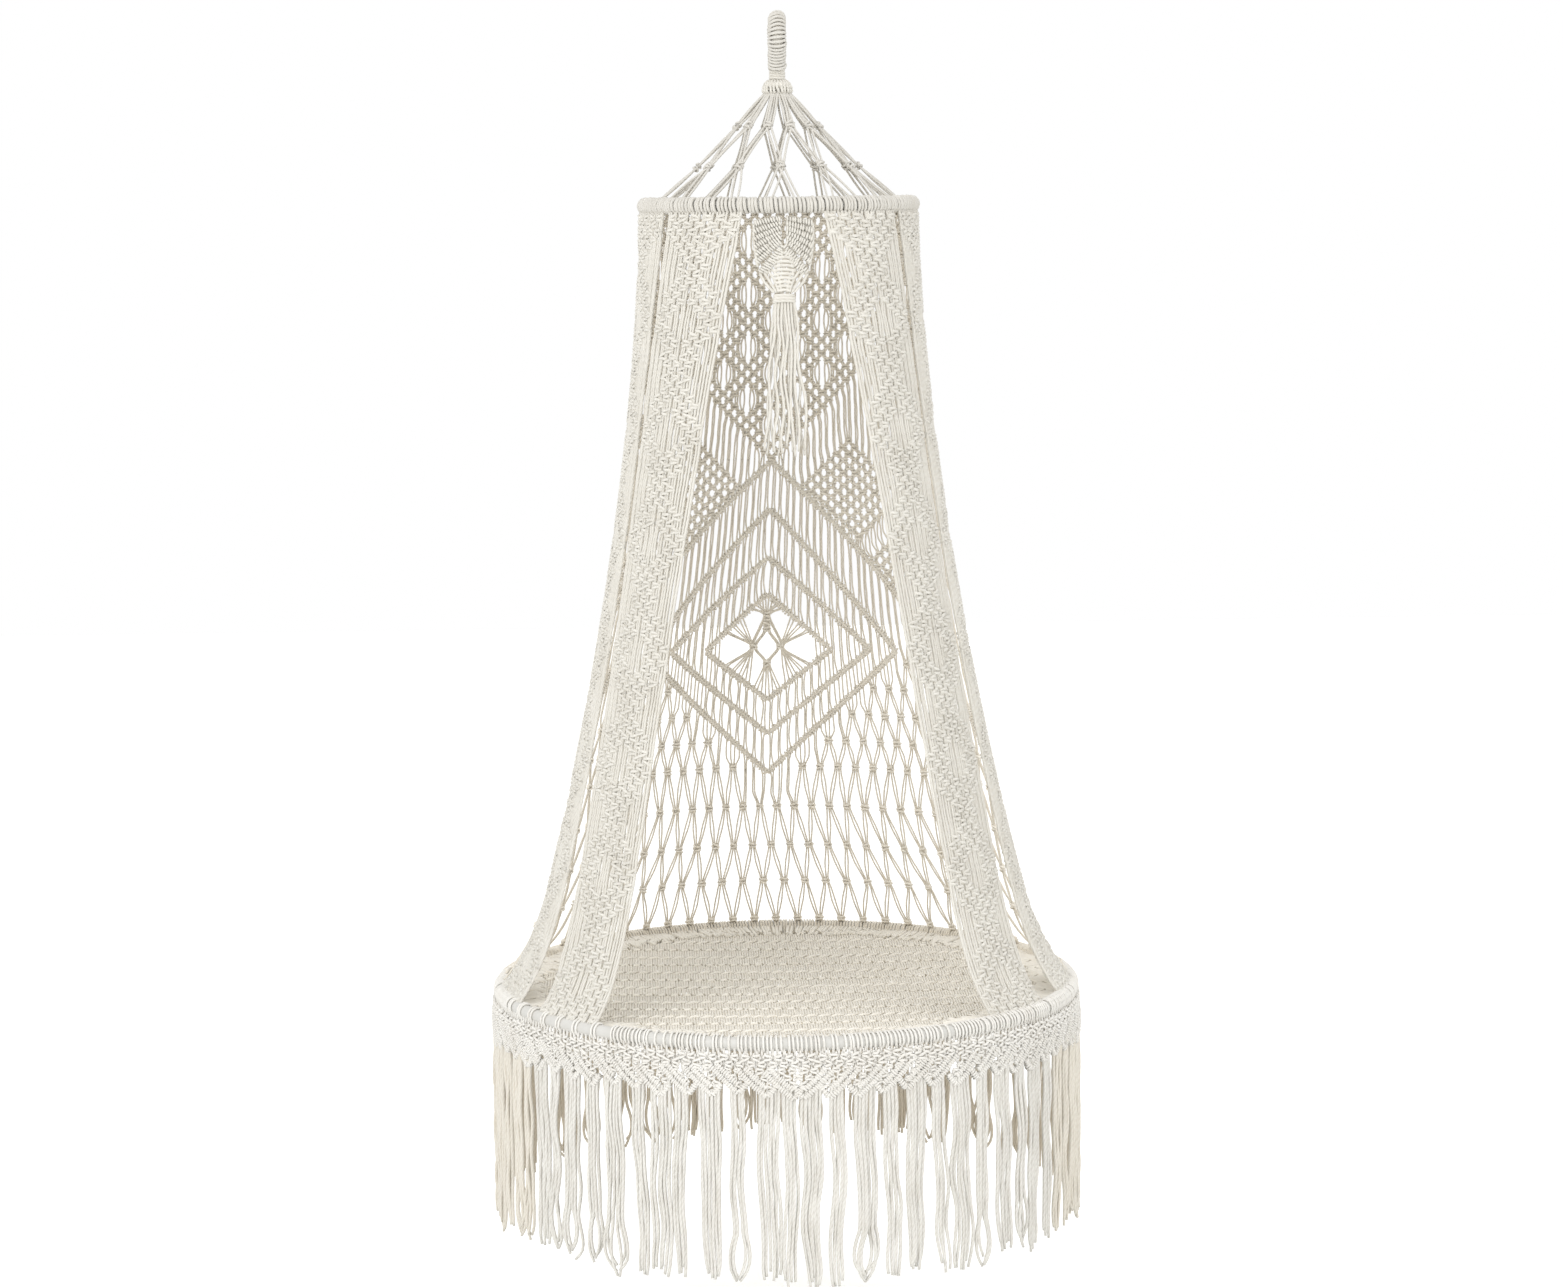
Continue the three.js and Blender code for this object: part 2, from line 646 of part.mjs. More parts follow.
// The same plate with ridges on its front face, like rows of half hitches laid side by side
function ribbedPlate(outline, ridgeAngle) {
  const reach = ornamentWidth + ornamentHeight;
  const ridges = Math.ceil(reach / ridgeWidth);
  const top = ornamentThickness / 2;
  const valley = ornamentThickness / 5;
  const edge = [];
  for (let i = -ridges; i < ridges; i += 1) {
    edge.push([i * ridgeWidth, valley], [(i + 0.5) * ridgeWidth, top]);
  }
  edge.push([ridges * ridgeWidth, valley], [ridges * ridgeWidth, -top], [-ridges * ridgeWidth, -top]);
  const profile = new THREE.Shape(edge.map(([a, b]) => new THREE.Vector2(a, b)));
  const ridged = new THREE.ExtrudeGeometry(profile, { depth: 2 * reach, bevelEnabled: false });
  ridged.translate(0, 0, -reach);
  const across = new THREE.Vector3(Math.cos(ridgeAngle), 0, Math.sin(ridgeAngle));
  const front = new THREE.Vector3(0, -1, 0);
  const along = new THREE.Vector3().crossVectors(across, front);
  ridged.applyMatrix4(new THREE.Matrix4().makeBasis(across, front, along));
  ridged.translate(0, -upperHoopRadius, ornamentTop);
  return solidOf(ridged).intersect(solidOf(flatPlate(outline, 2 * ornamentThickness)));
}

function rollAlongX(from, to, z) {
  const roll = new THREE.CylinderGeometry(rollRadius, rollRadius, to - from, 8);
  roll.rotateZ(Math.PI / 2);
  return solidOf(roll.translate((from + to) / 2, -upperHoopRadius, z));
}

function addOrnament() {
  const seamTop = ornamentSpot(seamShares[0]);
  const seamEnd = ornamentSpot(seamShares[1]);
  const slope = (seamEnd[1] - seamTop[1]) / seamEnd[0];
  const seamShift = seamRoom * Math.hypot(1, slope);
  const leafInner = [leafSlit, seamTop[1] + slope * leafSlit + seamShift];
  const leaf = [[leafSlit, ornamentTop], ...leafShares.map((spot) => ornamentSpot(spot))];
  leaf.push([seamEnd[0], seamEnd[1] + seamShift], leafInner);
  for (const [side, mirror] of [['right', 1], ['left', -1]]) {
    const outline = leaf.map(([x, z]) => [mirror * x, z]);
    const ends = [leafSlit * mirror, leafShares[0][0] * ornamentWidth * mirror].sort((a, b) => a - b);
    const plate = ribbedPlate(mirror > 0 ? outline : outline.reverse(), mirror * 60 * degree);
    addPiece(`ornament_leaf_${side}`, geometryOf(plate.add(rollAlongX(ends[0], ends[1], rollZ))));
  }
  const foot = ornamentSpot([diamondFootShare, 1]);
  const half = [[0, seamTop[1] - seamShift], [seamEnd[0], seamEnd[1] - seamShift], foot];
  const diamond = [...half, [-foot[0], foot[1]], [-seamEnd[0], seamEnd[1] - seamShift]];
  addPiece('ornament_diamond', geometryOf(ribbedPlate(diamond, 90 * degree)));

  const gatherTop = foot[1] - clearance;
  const gatherFoot = gatherTop - gatherHeight;
  const swell = gatherHeight / 6;
  const bead = [[0, gatherTop], [gatherWidth / 2 - swell, gatherTop], [gatherWidth / 2, gatherTop - swell]];
  bead.push([gatherWidth / 2, gatherFoot + swell], [gatherWidth / 2 - swell, gatherFoot], [0, gatherFoot]);
  const gather = ring(bead, 14);
  gather.scale(1, gatherDepth / gatherWidth, 1);
  gather.translate(0, -upperHoopRadius, 0);
  addPiece('ornament_gather', gather, shadeColour);
  addTassel(gatherFoot);
}

function addTassel(gatherFoot) {
  const hingeZ = gatherFoot - clearance - rollRadius;
  const head = rollRadius * 2;
  const pitch = (gatherWidth - tasselStrand) / (tasselStrands - 1);
  const outline = [];
  for (let i = 0; i < tasselStrands; i += 1) {
    const left = i * pitch - gatherWidth / 2;
    const end = tasselLength - (i % 3) * (raggedEnd / 3);
    outline.push([left, head], [left, end / 2], [left, end], [left + tasselStrand, end]);
    outline.push([left + tasselStrand, end / 2], [left + tasselStrand, head]);
  }
  outline.push([gatherWidth / 2, 0], [-gatherWidth / 2, 0]);
  const bend = (a, b, side) => {
    const spread = 1 + (tasselSpread / gatherWidth - 1) * (b / tasselLength) ** 2;
    return new THREE.Vector3(a * spread, -upperHoopRadius - (side * tasselStrand) / 2, hingeZ - b);
  };
  const strands = solidOf(bentSheet(outline, [], bend));
  const roll = rollAlongX(-gatherWidth / 2, gatherWidth / 2, hingeZ);
  addPiece('ornament_tassel', geometryOf(strands.add(roll)));
}

// Seat: a taut disc of woven cord that sags a little, edged where its cords turn round the hoop
const seatFlat = (seatTube / 2) * Math.cos(Math.PI / seatTubeSides);
const weaveRadius = seatHoopRadius - seatFlat - clearance;

function addSeatWeave() {
  const rings = 3;
  const inner = weaveRadius - weaveRim;
  const sagAt = (radius) => -seatHoopDrop - weaveSag * (1 - (radius / weaveRadius) ** 2);
  const top = [];
  const under = [];
  for (let i = 0; i <= rings; i += 1) {
    const radius = (i / rings) * inner;
    top.push([radius, sagAt(radius) + weaveThickness / 2]);
    under.push([radius, sagAt(radius) - weaveThickness / 2]);
  }
  const edge = seatTube / 6;
  const rim = [[weaveRadius, -seatHoopDrop + edge], [weaveRadius, -seatHoopDrop - edge]];
  addPiece('seat_weave', ring([...top, ...rim, ...under.reverse()], seatSegments));
}

// Valance: hitches over the hoop, leaves of knots below it and the strands of the fringe
const hitchReach = seatTube / 2 + clearance + cord / 2;
const facet = full / seatTubeSides;
const hitchStep = 2 * hitchReach * Math.sin(facet / 2);
const hitchStart = 1.5 * facet; // the highest corner of the tube that a hitch covers

const leafPitch = (full * seatHoopRadius) / valanceLeaves;
const hitchTop = hitchStep + hitchRoom; // along the sheet, down to where the leaves begin
const fringeEnd = fringeLength + hitchReach * Math.sin(facet / 2) + hitchStep;

function onValance(angle, along, side) {
  const reach = hitchReach + (side * cord) / 2;
  const corner = Math.min(Math.round(along / hitchStep), 1);
  const tilt = hitchStart - corner * facet;
  const radius = seatHoopRadius + reach * Math.cos(tilt);
  const straight = Math.max(along - hitchStep, 0);
  return around(radius, angle, reach * Math.sin(tilt) - seatHoopDrop - straight);
}

// Lines across one leaf and what hangs between them: hitches beside the tip, strands under it
function leafColumns(leaf) {
  const start = leaf * leafPitch;
  const tip = start + (leafPitch - leafTip) / 2;
  const columns = [{ from: start, kind: 'gap' }, { from: tip - hitchWidth, kind: 'hitch' }];
  const step = (leafTip - strandWidth) / (strandsPerLeaf - 1);
  for (let i = 0; i < strandsPerLeaf; i += 1) {
    const end = fringeEnd - raggedEnd * (0.5 + 0.5 * Math.sin(5 * leaf + 2 * i));
    columns.push({ from: tip + i * step, kind: 'strand', end });
    if (i < strandsPerLeaf - 1) columns.push({ from: tip + i * step + strandWidth, kind: 'gap', end });
  }
  columns.push({ from: tip + leafTip, kind: 'hitch', end: columns.at(-1).end });
  columns.push({ from: tip + leafTip + hitchWidth, kind: 'gap' });
  return columns;
}

function addValance() {
  for (let piece = 0; piece < valanceLeaves / leavesPerPiece; piece += 1) {
    const columns = [];
    for (let k = 0; k < leavesPerPiece; k += 1) columns.push(...leafColumns(piece * leavesPerPiece + k));
    const lines = [...columns, { from: (piece + 1) * leavesPerPiece * leafPitch - clearance }];
    const leafFoot = ({ from }) => {
      const offTip = Math.abs((from / leafPitch) % 1 - 0.5) * leafPitch - leafTip / 2;
      const slope = (leafHeight - leafValley) / ((leafPitch - leafTip) / 2);
      return hitchTop + leafHeight - Math.max(offTip, 0) * slope;
    };
    const filled = (i, row) => [columns[i].kind === 'hitch', columns[i].kind === 'hitch', true,
      columns[i].kind === 'strand'][row];
    const place = (i, row, side) => {
      const foot = leafFoot(lines[i]);
      const along = [0, hitchStep, hitchTop, foot, lines[i].end ?? foot][row];
      return onValance(lines[i].from / seatHoopRadius, along, side);
    };
    const number = String(piece + 1).padStart(2, '0');
    addPiece(`valance_${number}`, cellSheet(columns.length, 4, filled, place));
  }
}

addHangingLoop();
addSuspensionNet(addNeck());
addHoops();
addBand('front_band_right', frontEdge, 1);
addBand('front_band_left', frontEdge, -1);
addBand('side_band_right', sideBandStart, 1);
addBand('side_band_left', sideBandStart, -1);
addBackPanel();
addOrnament();
addSeatWeave();
addValance();

export default chair;
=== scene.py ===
import math
import bpy
import numpy as np
from mathutils import Matrix, Vector


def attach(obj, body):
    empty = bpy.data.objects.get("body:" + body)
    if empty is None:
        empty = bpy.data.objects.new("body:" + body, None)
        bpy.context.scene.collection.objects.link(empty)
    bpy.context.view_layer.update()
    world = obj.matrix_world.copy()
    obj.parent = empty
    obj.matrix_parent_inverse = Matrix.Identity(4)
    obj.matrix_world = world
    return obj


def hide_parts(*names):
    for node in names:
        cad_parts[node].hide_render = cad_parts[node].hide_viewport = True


# A round hammock chair of knotted cotton cord. Lengths in the dictionaries are millimetres.
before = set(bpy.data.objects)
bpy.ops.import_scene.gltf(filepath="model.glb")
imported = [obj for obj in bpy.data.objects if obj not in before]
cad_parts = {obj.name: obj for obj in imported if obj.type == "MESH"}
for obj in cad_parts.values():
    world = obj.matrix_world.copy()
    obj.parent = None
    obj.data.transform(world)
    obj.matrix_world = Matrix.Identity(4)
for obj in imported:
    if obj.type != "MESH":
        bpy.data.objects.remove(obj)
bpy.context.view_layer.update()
mm = 0.001
tau = 2 * np.pi
random = np.random.default_rng(11)

# Camera
camera = {"distance": 5147, "height": -243, "aside": -1.7, "azimuth": -2.0, "pitch": 6.66, "roll": -0.57,
    "lens": 86.2}


def linked(name, data):
    made = bpy.data.objects.new(name, data)
    bpy.context.scene.collection.objects.link(made)
    return made


def addCamera():
    data = bpy.data.cameras.new("photoCamera")
    data.lens = camera["lens"]
    data.clip_end = 60
    seen = linked("photoCamera", data)
    turn = Matrix.Rotation(math.radians(camera["azimuth"]), 4, "Z")
    look = Matrix.Rotation(math.radians(90 - camera["pitch"]), 4, "X")
    roll = Matrix.Rotation(math.radians(camera["roll"]), 4, "Z")
    place = Matrix.Translation((camera["aside"] * mm, -camera["distance"] * mm, camera["height"] * mm))
    seen.matrix_world = turn @ place @ look @ roll
    bpy.context.scene.camera = seen
    print("camera made")


addCamera()

# Colours and materials


def colour(code):
    # sRGB hex to linear
    parts = [int(code[i:i + 2], 16) / 255 for i in (1, 3, 5)]
    return [p / 12.92 if p <= 0.04045 else ((p + 0.055) / 1.055) ** 2.4 for p in parts] + [1]


def node(tree, kind, links=(), **settings):
    # One node with its settings and links; a link is (input, value or (node, output))
    made = tree.nodes.new(kind)
    for key, value in settings.items():
        setattr(made, key, value)
    for name, value in links:
        if isinstance(value, tuple) and hasattr(value[0], "outputs"):
            tree.links.new(value[0].outputs[value[1]], made.inputs[name])
        else:
            made.inputs[name].default_value = value
    return made


def calculated(tree, operation, *values):
    # One step of arithmetic on sockets or numbers
    return node(tree, "ShaderNodeMath", list(enumerate(values)), operation=operation), 0


def noise(tree, scale, detail):
    place = node(tree, "ShaderNodeTexCoord")
    links = [("Vector", (place, "Object")), ("Scale", scale), ("Detail", detail)]
    return node(tree, "ShaderNodeTexNoise", links), 0


def mapped(tree, value, low, high, first, last):
    # From low and high to first and last
    links = [("Value", value), ("From Min", low), ("From Max", high), ("To Min", first), ("To Max", last)]
    return node(tree, "ShaderNodeMapRange", links), 0


def tinted(tree, factor, pale, dark):
    return node(tree, "ShaderNodeMix", [("Factor", factor), (6, pale), (7, dark)], data_type="RGBA"), 2


def matt(name, roughness):
    material = bpy.data.materials.new(name)
    material.use_nodes = True
    shader = material.node_tree.nodes["Principled BSDF"]
    shader.inputs["Roughness"].default_value = roughness
    return material, material.node_tree, shader


def finished(tree, shader, tint, height=None, strength=0.0, distance=0.0):
    # The shader takes its colour from tint, and its relief from height
    tree.links.new(tint[0].outputs[tint[1]], shader.inputs["Base Color"])
    if height:
        links = [("Strength", strength), ("Distance", distance), ("Height", height)]
        bump = node(tree, "ShaderNodeBump", links)
        tree.links.new(bump.outputs[0], shader.inputs["Normal"])


def cottonCord(name, pale, dark, diameter, mottle=0.15, grooveShade=0.3, relief=0.4):
    # Three-ply cotton cord, spun and left unglazed: slanted plies with painted shade in the grooves between
    # them, a matt fuzz and uneven cream
    material, tree, shader = matt(name, 0.92)
    shader.inputs["Sheen Weight"].default_value = 0.12
    shader.inputs["Sheen Roughness"].default_value = 0.6
    plies = 3
    turn = 2.2 * diameter * mm  # the length in which a ply goes round once
    along = node(tree, "ShaderNodeUVMap", uv_map="cord")
    slant = node(tree, "ShaderNodeVectorMath", [(0, (along, 0)), (1, (tau / turn, tau * plies, 0))],
                 operation="DOT_PRODUCT")
    ply = calculated(tree, "SINE", (slant, "Value"))
    # Painted shade: the cord is darkened in the grooves between its plies, where shade falls
    plyGrooveShade = mapped(tree, ply, -1, 0.2, grooveShade, 0)
    specks = mapped(tree, noise(tree, 210, 2), 0.42, 0.66, 0, mottle)
    stains = mapped(tree, noise(tree, 22, 4), 0.4, 0.75, 0, 0.22)
    factor = calculated(tree, "ADD", calculated(tree, "ADD", plyGrooveShade, stains), specks)
    height = calculated(tree, "MULTIPLY_ADD", noise(tree, 900, 3), 0.6, ply)
    tint = tinted(tree, factor, colour(pale), colour(dark))
    finished(tree, shader, tint, height, relief, 0.12 * diameter * mm)
    return material


creamCord = cottonCord("cotton cord, undyed cream", "#E7E4DC", "#C7C0B3", 4.0)
woundCord = cottonCord("cotton cord, wound tightly", "#DFDCD5", "#BCB6AA", 4.0)
knotCord = cottonCord("cotton cord, knotted", "#E8E5DD", "#BDB7AB", 4.0, mottle=0.28, grooveShade=0.12, relief=0.3)
hungCord = cottonCord("cotton cord of the fringe", "#E8E6E0", "#BFB9AD", 4.0, grooveShade=0.26, relief=0.2)
# The fringe's strands at the sides and at the back: copies of its cord painted darker and warmer, as painted
# shade
sideShadeCord = cottonCord("cotton cord, ends at the sides, painted shade", "#E9E4D9", "#C6BDAB", 4.0, grooveShade=0.22, relief=0.2)
backShadeCord = cottonCord("cotton cord, ends at the back, painted deeper shade", "#E5DCCC", "#C6B89D", 4.0, grooveShade=0.22, relief=0.2)
innerCord = cottonCord("cotton cord, inside the back", "#EFE9DD", "#CEC4B2", 2.6)
# Knots in the back: the first for the lattice, which lies in the shade of the bands, the second a lighter
# copy, painted light, for the knots lower down
innerKnot = cottonCord("cotton cord, knotted in the back", "#F4EEE2", "#D3CABA", 2.6,
                       mottle=0.25, grooveShade=0.15)
litBackKnot = cottonCord("cotton cord, knotted low in the back, painted light", "#FCF7ED", "#DED6C8", 2.6,
                      mottle=0.25, grooveShade=0.15)
thinCord = cottonCord("cotton cord, thin hitches", "#F3F1EC", "#D3CCC0", 3.0, grooveShade=0.15)
# The seat's cord is painted paler than the cord outside, as painted light against the shade inside the chair;
# its dashes below are painted shadow
seatCordLitAndShaded = cottonCord("cotton cord of the seat, painted light and shadow", "#F9F5EC", "#E5DECF", 3.6, grooveShade=0.15, relief=0.25)

# Painted shadow on the seat's twining: row, pitch, lean, half width and length, strength and colour of its
# dark strokes
dashShadows = {"row": 50, "pitch": 17.5, "lean": (0.82, 0.57), "halfWidth": (0.9, 2.0), "halfLength": (5.5, 8),
    "strength": 0.75, "colour": "#9C917C"}


def addDashShadows(material):
    # Painted shadow where the twining cord dives under: short dark slanted strokes in rows. Every other
    # row is moved by half a pitch and leans the other way.
    tree = material.node_tree
    shader = tree.nodes["Principled BSDF"]

    def step(operation, *values):
        return calculated(tree, operation, *values)

    split = node(tree, "ShaderNodeSeparateXYZ", [(0, (node(tree, "ShaderNodeTexCoord"), "Object"))])
    ahead = step("DIVIDE", (split, "Y"), dashShadows["row"] * mm)
    row = step("ROUND", ahead)
    y = step("MULTIPLY", step("SUBTRACT", ahead, row), dashShadows["row"])
    aside = step("ADD", step("DIVIDE", (split, "X"), dashShadows["pitch"] * mm), step("MULTIPLY", row, 0.5))
    x = step("MULTIPLY", step("SUBTRACT", aside, step("ROUND", aside)), dashShadows["pitch"])
    hand = step("MULTIPLY_ADD", step("PINGPONG", row, 1), -2, 1)
    x = step("MULTIPLY", x, hand)
    level, steep = dashShadows["lean"]
    beside = step("ABSOLUTE", step("SUBTRACT", step("MULTIPLY", x, level), step("MULTIPLY", y, steep)))
    along = step("ABSOLUTE", step("MULTIPLY_ADD", x, steep, step("MULTIPLY", y, level)))
    shadowStroke = step("MULTIPLY", mapped(tree, beside, *dashShadows["halfWidth"], 1, 0),
                  mapped(tree, along, *dashShadows["halfLength"], 1, 0))
    pale = shader.inputs["Base Color"].links[0]
    factor = step("MULTIPLY", shadowStroke, dashShadows["strength"])
    finished(tree, shader, tinted(tree, factor, (pale.from_node, 2), colour(dashShadows["colour"])))


addDashShadows(seatCordLitAndShaded)


def paintedSteel():
    # White painted steel tube: smooth and half matt, with a faint unevenness of the paint
    material, tree, shader = matt("steel tube, painted white", 0.42)
    uneven = noise(tree, 60, 3)
    finished(tree, shader, tinted(tree, uneven, colour("#DAD9D5"), colour("#CAC8C2")), uneven, 0.2, 0.2 * mm)
    return material


whiteSteel = paintedSteel()

# Cords as surfaces


def unit(vectors):
    return vectors / np.maximum(np.linalg.norm(vectors, axis=-1, keepdims=True), 1e-12)


def fronts(paths):
    # Out from the chair's axis, with a little of Z so that no cord runs straight along it
    return unit(unit(paths * [1, 1, 0]) + [0.013, 0.007, 0.021])


def lengths(paths):
    # How far along its path each point is
    steps = np.linalg.norm(np.diff(paths, axis=-2), axis=-1)
    return np.concatenate([np.zeros_like(steps[..., :1]), np.cumsum(steps, axis=-1)], axis=-1)


def tubes(paths, cord, facing=fronts, sides=5):
    # A round section carried along every path: point + radius (cos a side + sin a up), where side is
    # square to the path and to its facing, and up is square to both. paths are cords x points x 3.
    count, steps, _ = paths.shape
    along = unit(np.gradient(paths, axis=1))
    side = unit(np.cross(along, facing(paths) if callable(facing) else facing))
    up = np.cross(side, along)
    angle = tau * np.arange(sides) / sides
    reach = np.broadcast_to(cord * mm / 2, (count, steps))[..., None, None]
    ring = np.cos(angle)[:, None] * side[:, :, None] + np.sin(angle)[:, None] * up[:, :, None]
    points = paths[:, :, None] + reach * ring
    index = np.arange(count * steps * sides).reshape(count, steps, sides)
    after = np.roll(index, -1, axis=2)
    quads = np.stack([index[:, :-1], index[:, 1:], after[:, 1:], after[:, :-1]], axis=-1)
    caps = np.concatenate([index[:, 0], index[:, -1, ::-1]])
    run = lengths(paths)
    corner = np.empty(quads.shape + (2,))
    corner[..., 0] = np.stack([run[:, :-1], run[:, 1:], run[:, 1:], run[:, :-1]], axis=-1)[:, :, None]
    turn = np.arange(sides) / sides
    corner[..., 1] = np.stack([turn, turn, turn + 1 / sides, turn + 1 / sides], axis=-1)
    return {"points": points.reshape(-1, 3), "quads": quads.reshape(-1, 4), "caps": caps,
            "quadUv": corner.reshape(-1, 2), "capUv": np.zeros((caps.size, 2))}


def piece(name, parts, material, replaced=(), body="chair"):
    # One mesh from several sets of tubes
    points, loops, sizes, uv, base = [], [], [], [], 0
    for part in parts:
        points.append(part["points"])
        loops += [(part["quads"] + base).ravel(), (part["caps"] + base).ravel()]
        sizes += [np.full(len(part["quads"]), 4), np.full(len(part["caps"]), part["caps"].shape[1])]
        uv += [part["quadUv"], part["capUv"]]
        base += len(part["points"])
    points, loops, sizes, uv = (np.concatenate(x) for x in (points, loops, sizes, uv))
    mesh = bpy.data.meshes.new(name)
    mesh.vertices.add(len(points))
    mesh.vertices.foreach_set("co", points.astype(np.float32).ravel())
    mesh.loops.add(len(loops))
    mesh.loops.foreach_set("vertex_index", loops.astype(np.int32))
    mesh.polygons.add(len(sizes))
    mesh.polygons.foreach_set("loop_start", np.concatenate([[0], np.cumsum(sizes)[:-1]]).astype(np.int32))
    mesh.polygons.foreach_set("use_smooth", np.ones(len(sizes), bool))
    mesh.update(calc_edges=True)
    mesh.uv_layers.new(name="cord").data.foreach_set("uv", uv.astype(np.float32).ravel())
    mesh.materials.append(material)
    made = linked(name, mesh)
    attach(made, body)
    if replaced:
        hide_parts(*replaced)
    print(name, "triangles", int((sizes - 2).sum()))
    return made


def smoothed(values, passes):
    # Each point moved to the mean of itself and its neighbours along the cord, ends kept
    for _ in range(passes):
        values = values.copy()
        values[:, 1:-1] = (values[:, :-2] + 2 * values[:, 1:-1] + values[:, 2:]) / 4
    return values


def around(radius, angle, z):
    return np.stack([radius * np.sin(angle), -radius * np.cos(angle), z + 0 * angle], axis=-1) * mm


def sway(run, size, pace, count, scaled=np.divide):
    # A wave along run for each cord. Its size, its length (or number, when multiplied) and its start vary.
    reach = random.uniform(*size, (count, 1))
    return reach * np.sin(tau * (scaled(run, random.uniform(*pace, (count, 1))) + random.random((count, 1))))


# A square knot: one cord crosses the front twice and turns at the right, the other the back and
# turns at the left. Rows are across and out in cord diameters, and down in heights of the knot.
squareKnot = np.array([
    [[-0.9, -0.50, -0.1], [-1.0, -0.36, 0.55], [0.0, -0.25, 0.95], [1.0, -0.17, 0.6], [1.5, 0.0, -0.1],
     [1.0, 0.17, 0.6], [0.0, 0.25, 0.95], [-1.0, 0.36, 0.55], [-0.9, 0.50, -0.1]],
    [[0.9, -0.50, 0.1], [1.05, -0.32, -0.6], [0.0, -0.22, -0.9], [-1.1, -0.17, -0.5], [-1.5, 0.0, 0.6],
     [-1.1, 0.17, -0.5], [0.0, 0.22, -0.9], [1.05, 0.32, -0.6], [0.9, 0.50, 0.1]]])


def knots(place, across, down, cord, height, wide=1.0, proud=1.0, sides=5):
    count = len(across)
    flip = np.where(random.random(count) < 0.5, -1.0, 1.0)[:, None, None]
    size = 1 + random.normal(0, 0.07, (count, 1, 1))
    lean = random.normal(0, 0.09, (count, 1, 1))
    base = squareKnot[None] + random.normal(0, 0.04, (count, 1, 9, 3))
    x = base[..., 0] * cord * flip * size * wide
    y = base[..., 1] * height * size
    paths = place(across[:, None, None] + x + lean * y, down[:, None, None] + y - lean * x,
                  base[..., 2] * cord * proud)
    paths = paths.reshape(-1, 9, 3)
    return tubes(paths, cord, sides=sides)


def fabricPaths(place, homes, acrossOf, ties, down, cloth):
    # Cords run from top to foot in pairs, each pair at its home column. ties has a row for each knot or
    # row of hitches: column, depth, kind and the first and last home that it takes. Kind 0 is a row of
    # hitches, 1 a knot of a close pattern, 2 a knot of an open net, 3 a knot that gathers a fan.
    # gaps is half the distance of a pair's cords: in a window, in a long run, and at a row of hitches.
    window, loose, hitched = cloth["gaps"]
    cord, height = cloth["cord"], cloth["knot"][1]
    grip = 0.42 * height  # a knot holds its cords this far above and below its middle
    longRun = 45
    tracks = []
    for home in homes:
        mine = ties[(ties[:, 3] < home) & (ties[:, 4] > home)]
        mine = mine[np.argsort(mine[:, 1])]
        keys = [(down[0] - 1, home, 0.0, window)]
        last = 1
        for column, depth, kind, _, _ in mine:
            side = np.sign(home - column) or 1.0
            entry = depth - grip if kind else depth
            before, room = keys[-1], entry - keys[-1][0]
            fan = kind == 3 or last == 3
            if kind == 2 and last == 2 and room > 1.2 * height:
                keys.append((before[0] + room / 2, home, 0.0, loose + 1.2))
            elif room > longRun and not fan:
                top, foot, aside = random.uniform(8, 14), random.uniform(14, 23), random.normal(0, 0.7)
                keys.append((before[0] + top, home, aside, loose))
                keys.append((entry - foot, home, aside + 0.9, loose))
            elif room > 2.2 * height and not fan:
                aside = np.sign(before[1] - home) * cloth["bow"]
                keys.append((before[0] + 0.8 * height, home, aside, window))
                keys.append((entry - 0.8 * height, home, aside, window))
            if kind:
                keys.append((entry, column, side * cord, 0.5 * cord))
                keys.append((depth + grip, column, side * cord, 0.5 * cord))
            else:
                keys.append((entry, home, 0.0, hitched))
            last = kind
        foot = keys[-1]
        if down[-1] - foot[0] > longRun:
            keys.append((foot[0] + 8, home, 0.0, loose))
        keys.append((down[-1] + 1, home if down[-1] - foot[0] > 12 else foot[1], foot[2], foot[3]))
        keys = np.array(keys)
        tracks.append([np.interp(down, keys[:, 0], keys[:, k]) for k in (1, 2, 3)])
    tracks = np.array(tracks)
    middle = acrossOf(tracks[:, 0], down) + tracks[:, 1]
    across = np.stack([middle - tracks[:, 2], middle + tracks[:, 2]], axis=1).reshape(2 * len(homes), -1)
    across = smoothed(across + 1.2 * smoothed(random.normal(0, 0.5, across.shape), 6), 1)
    out = smoothed(random.normal(0, 0.4, across.shape), 4)
    return place(across, np.broadcast_to(down, across.shape), out)


def alongLine(line, at, run):
    return [np.interp(at, run, line[:, k]) for k in (0, 1)]


def hitchRow(place, line, cord, core, pitch, spanned=300, rough=0.1, facing=fronts):
    # Half hitches along a line of points (across, down): each one an arc of cord over the core
    line = np.asarray(line, float)
    run = lengths(line)
    count = max(int(run[-1] / pitch), 1)
    at = (np.arange(count) + 0.5 + random.normal(0, rough, count)) * run[-1] / count
    across, down = alongLine(line, at, run)
    ahead = unit(np.stack(alongLine(line, at + 1, run), -1) - np.stack(alongLine(line, at - 1, run), -1))
    steps = 7
    turn = np.radians(np.linspace(-spanned / 2, spanned / 2, steps))
    reach = (core + cord) / 2 * (1 + random.normal(0, rough, (count, 1)))
    square = np.sin(turn) * reach
    slip = np.linspace(-0.35, 0.35, steps) * cord
    x = across[:, None] - ahead[:, 1:] * square + ahead[:, :1] * slip
    y = down[:, None] + ahead[:, :1] * square + ahead[:, 1:] * slip
    paths = place(x, y, np.cos(turn) * reach)
    return tubes(paths, cord, facing)


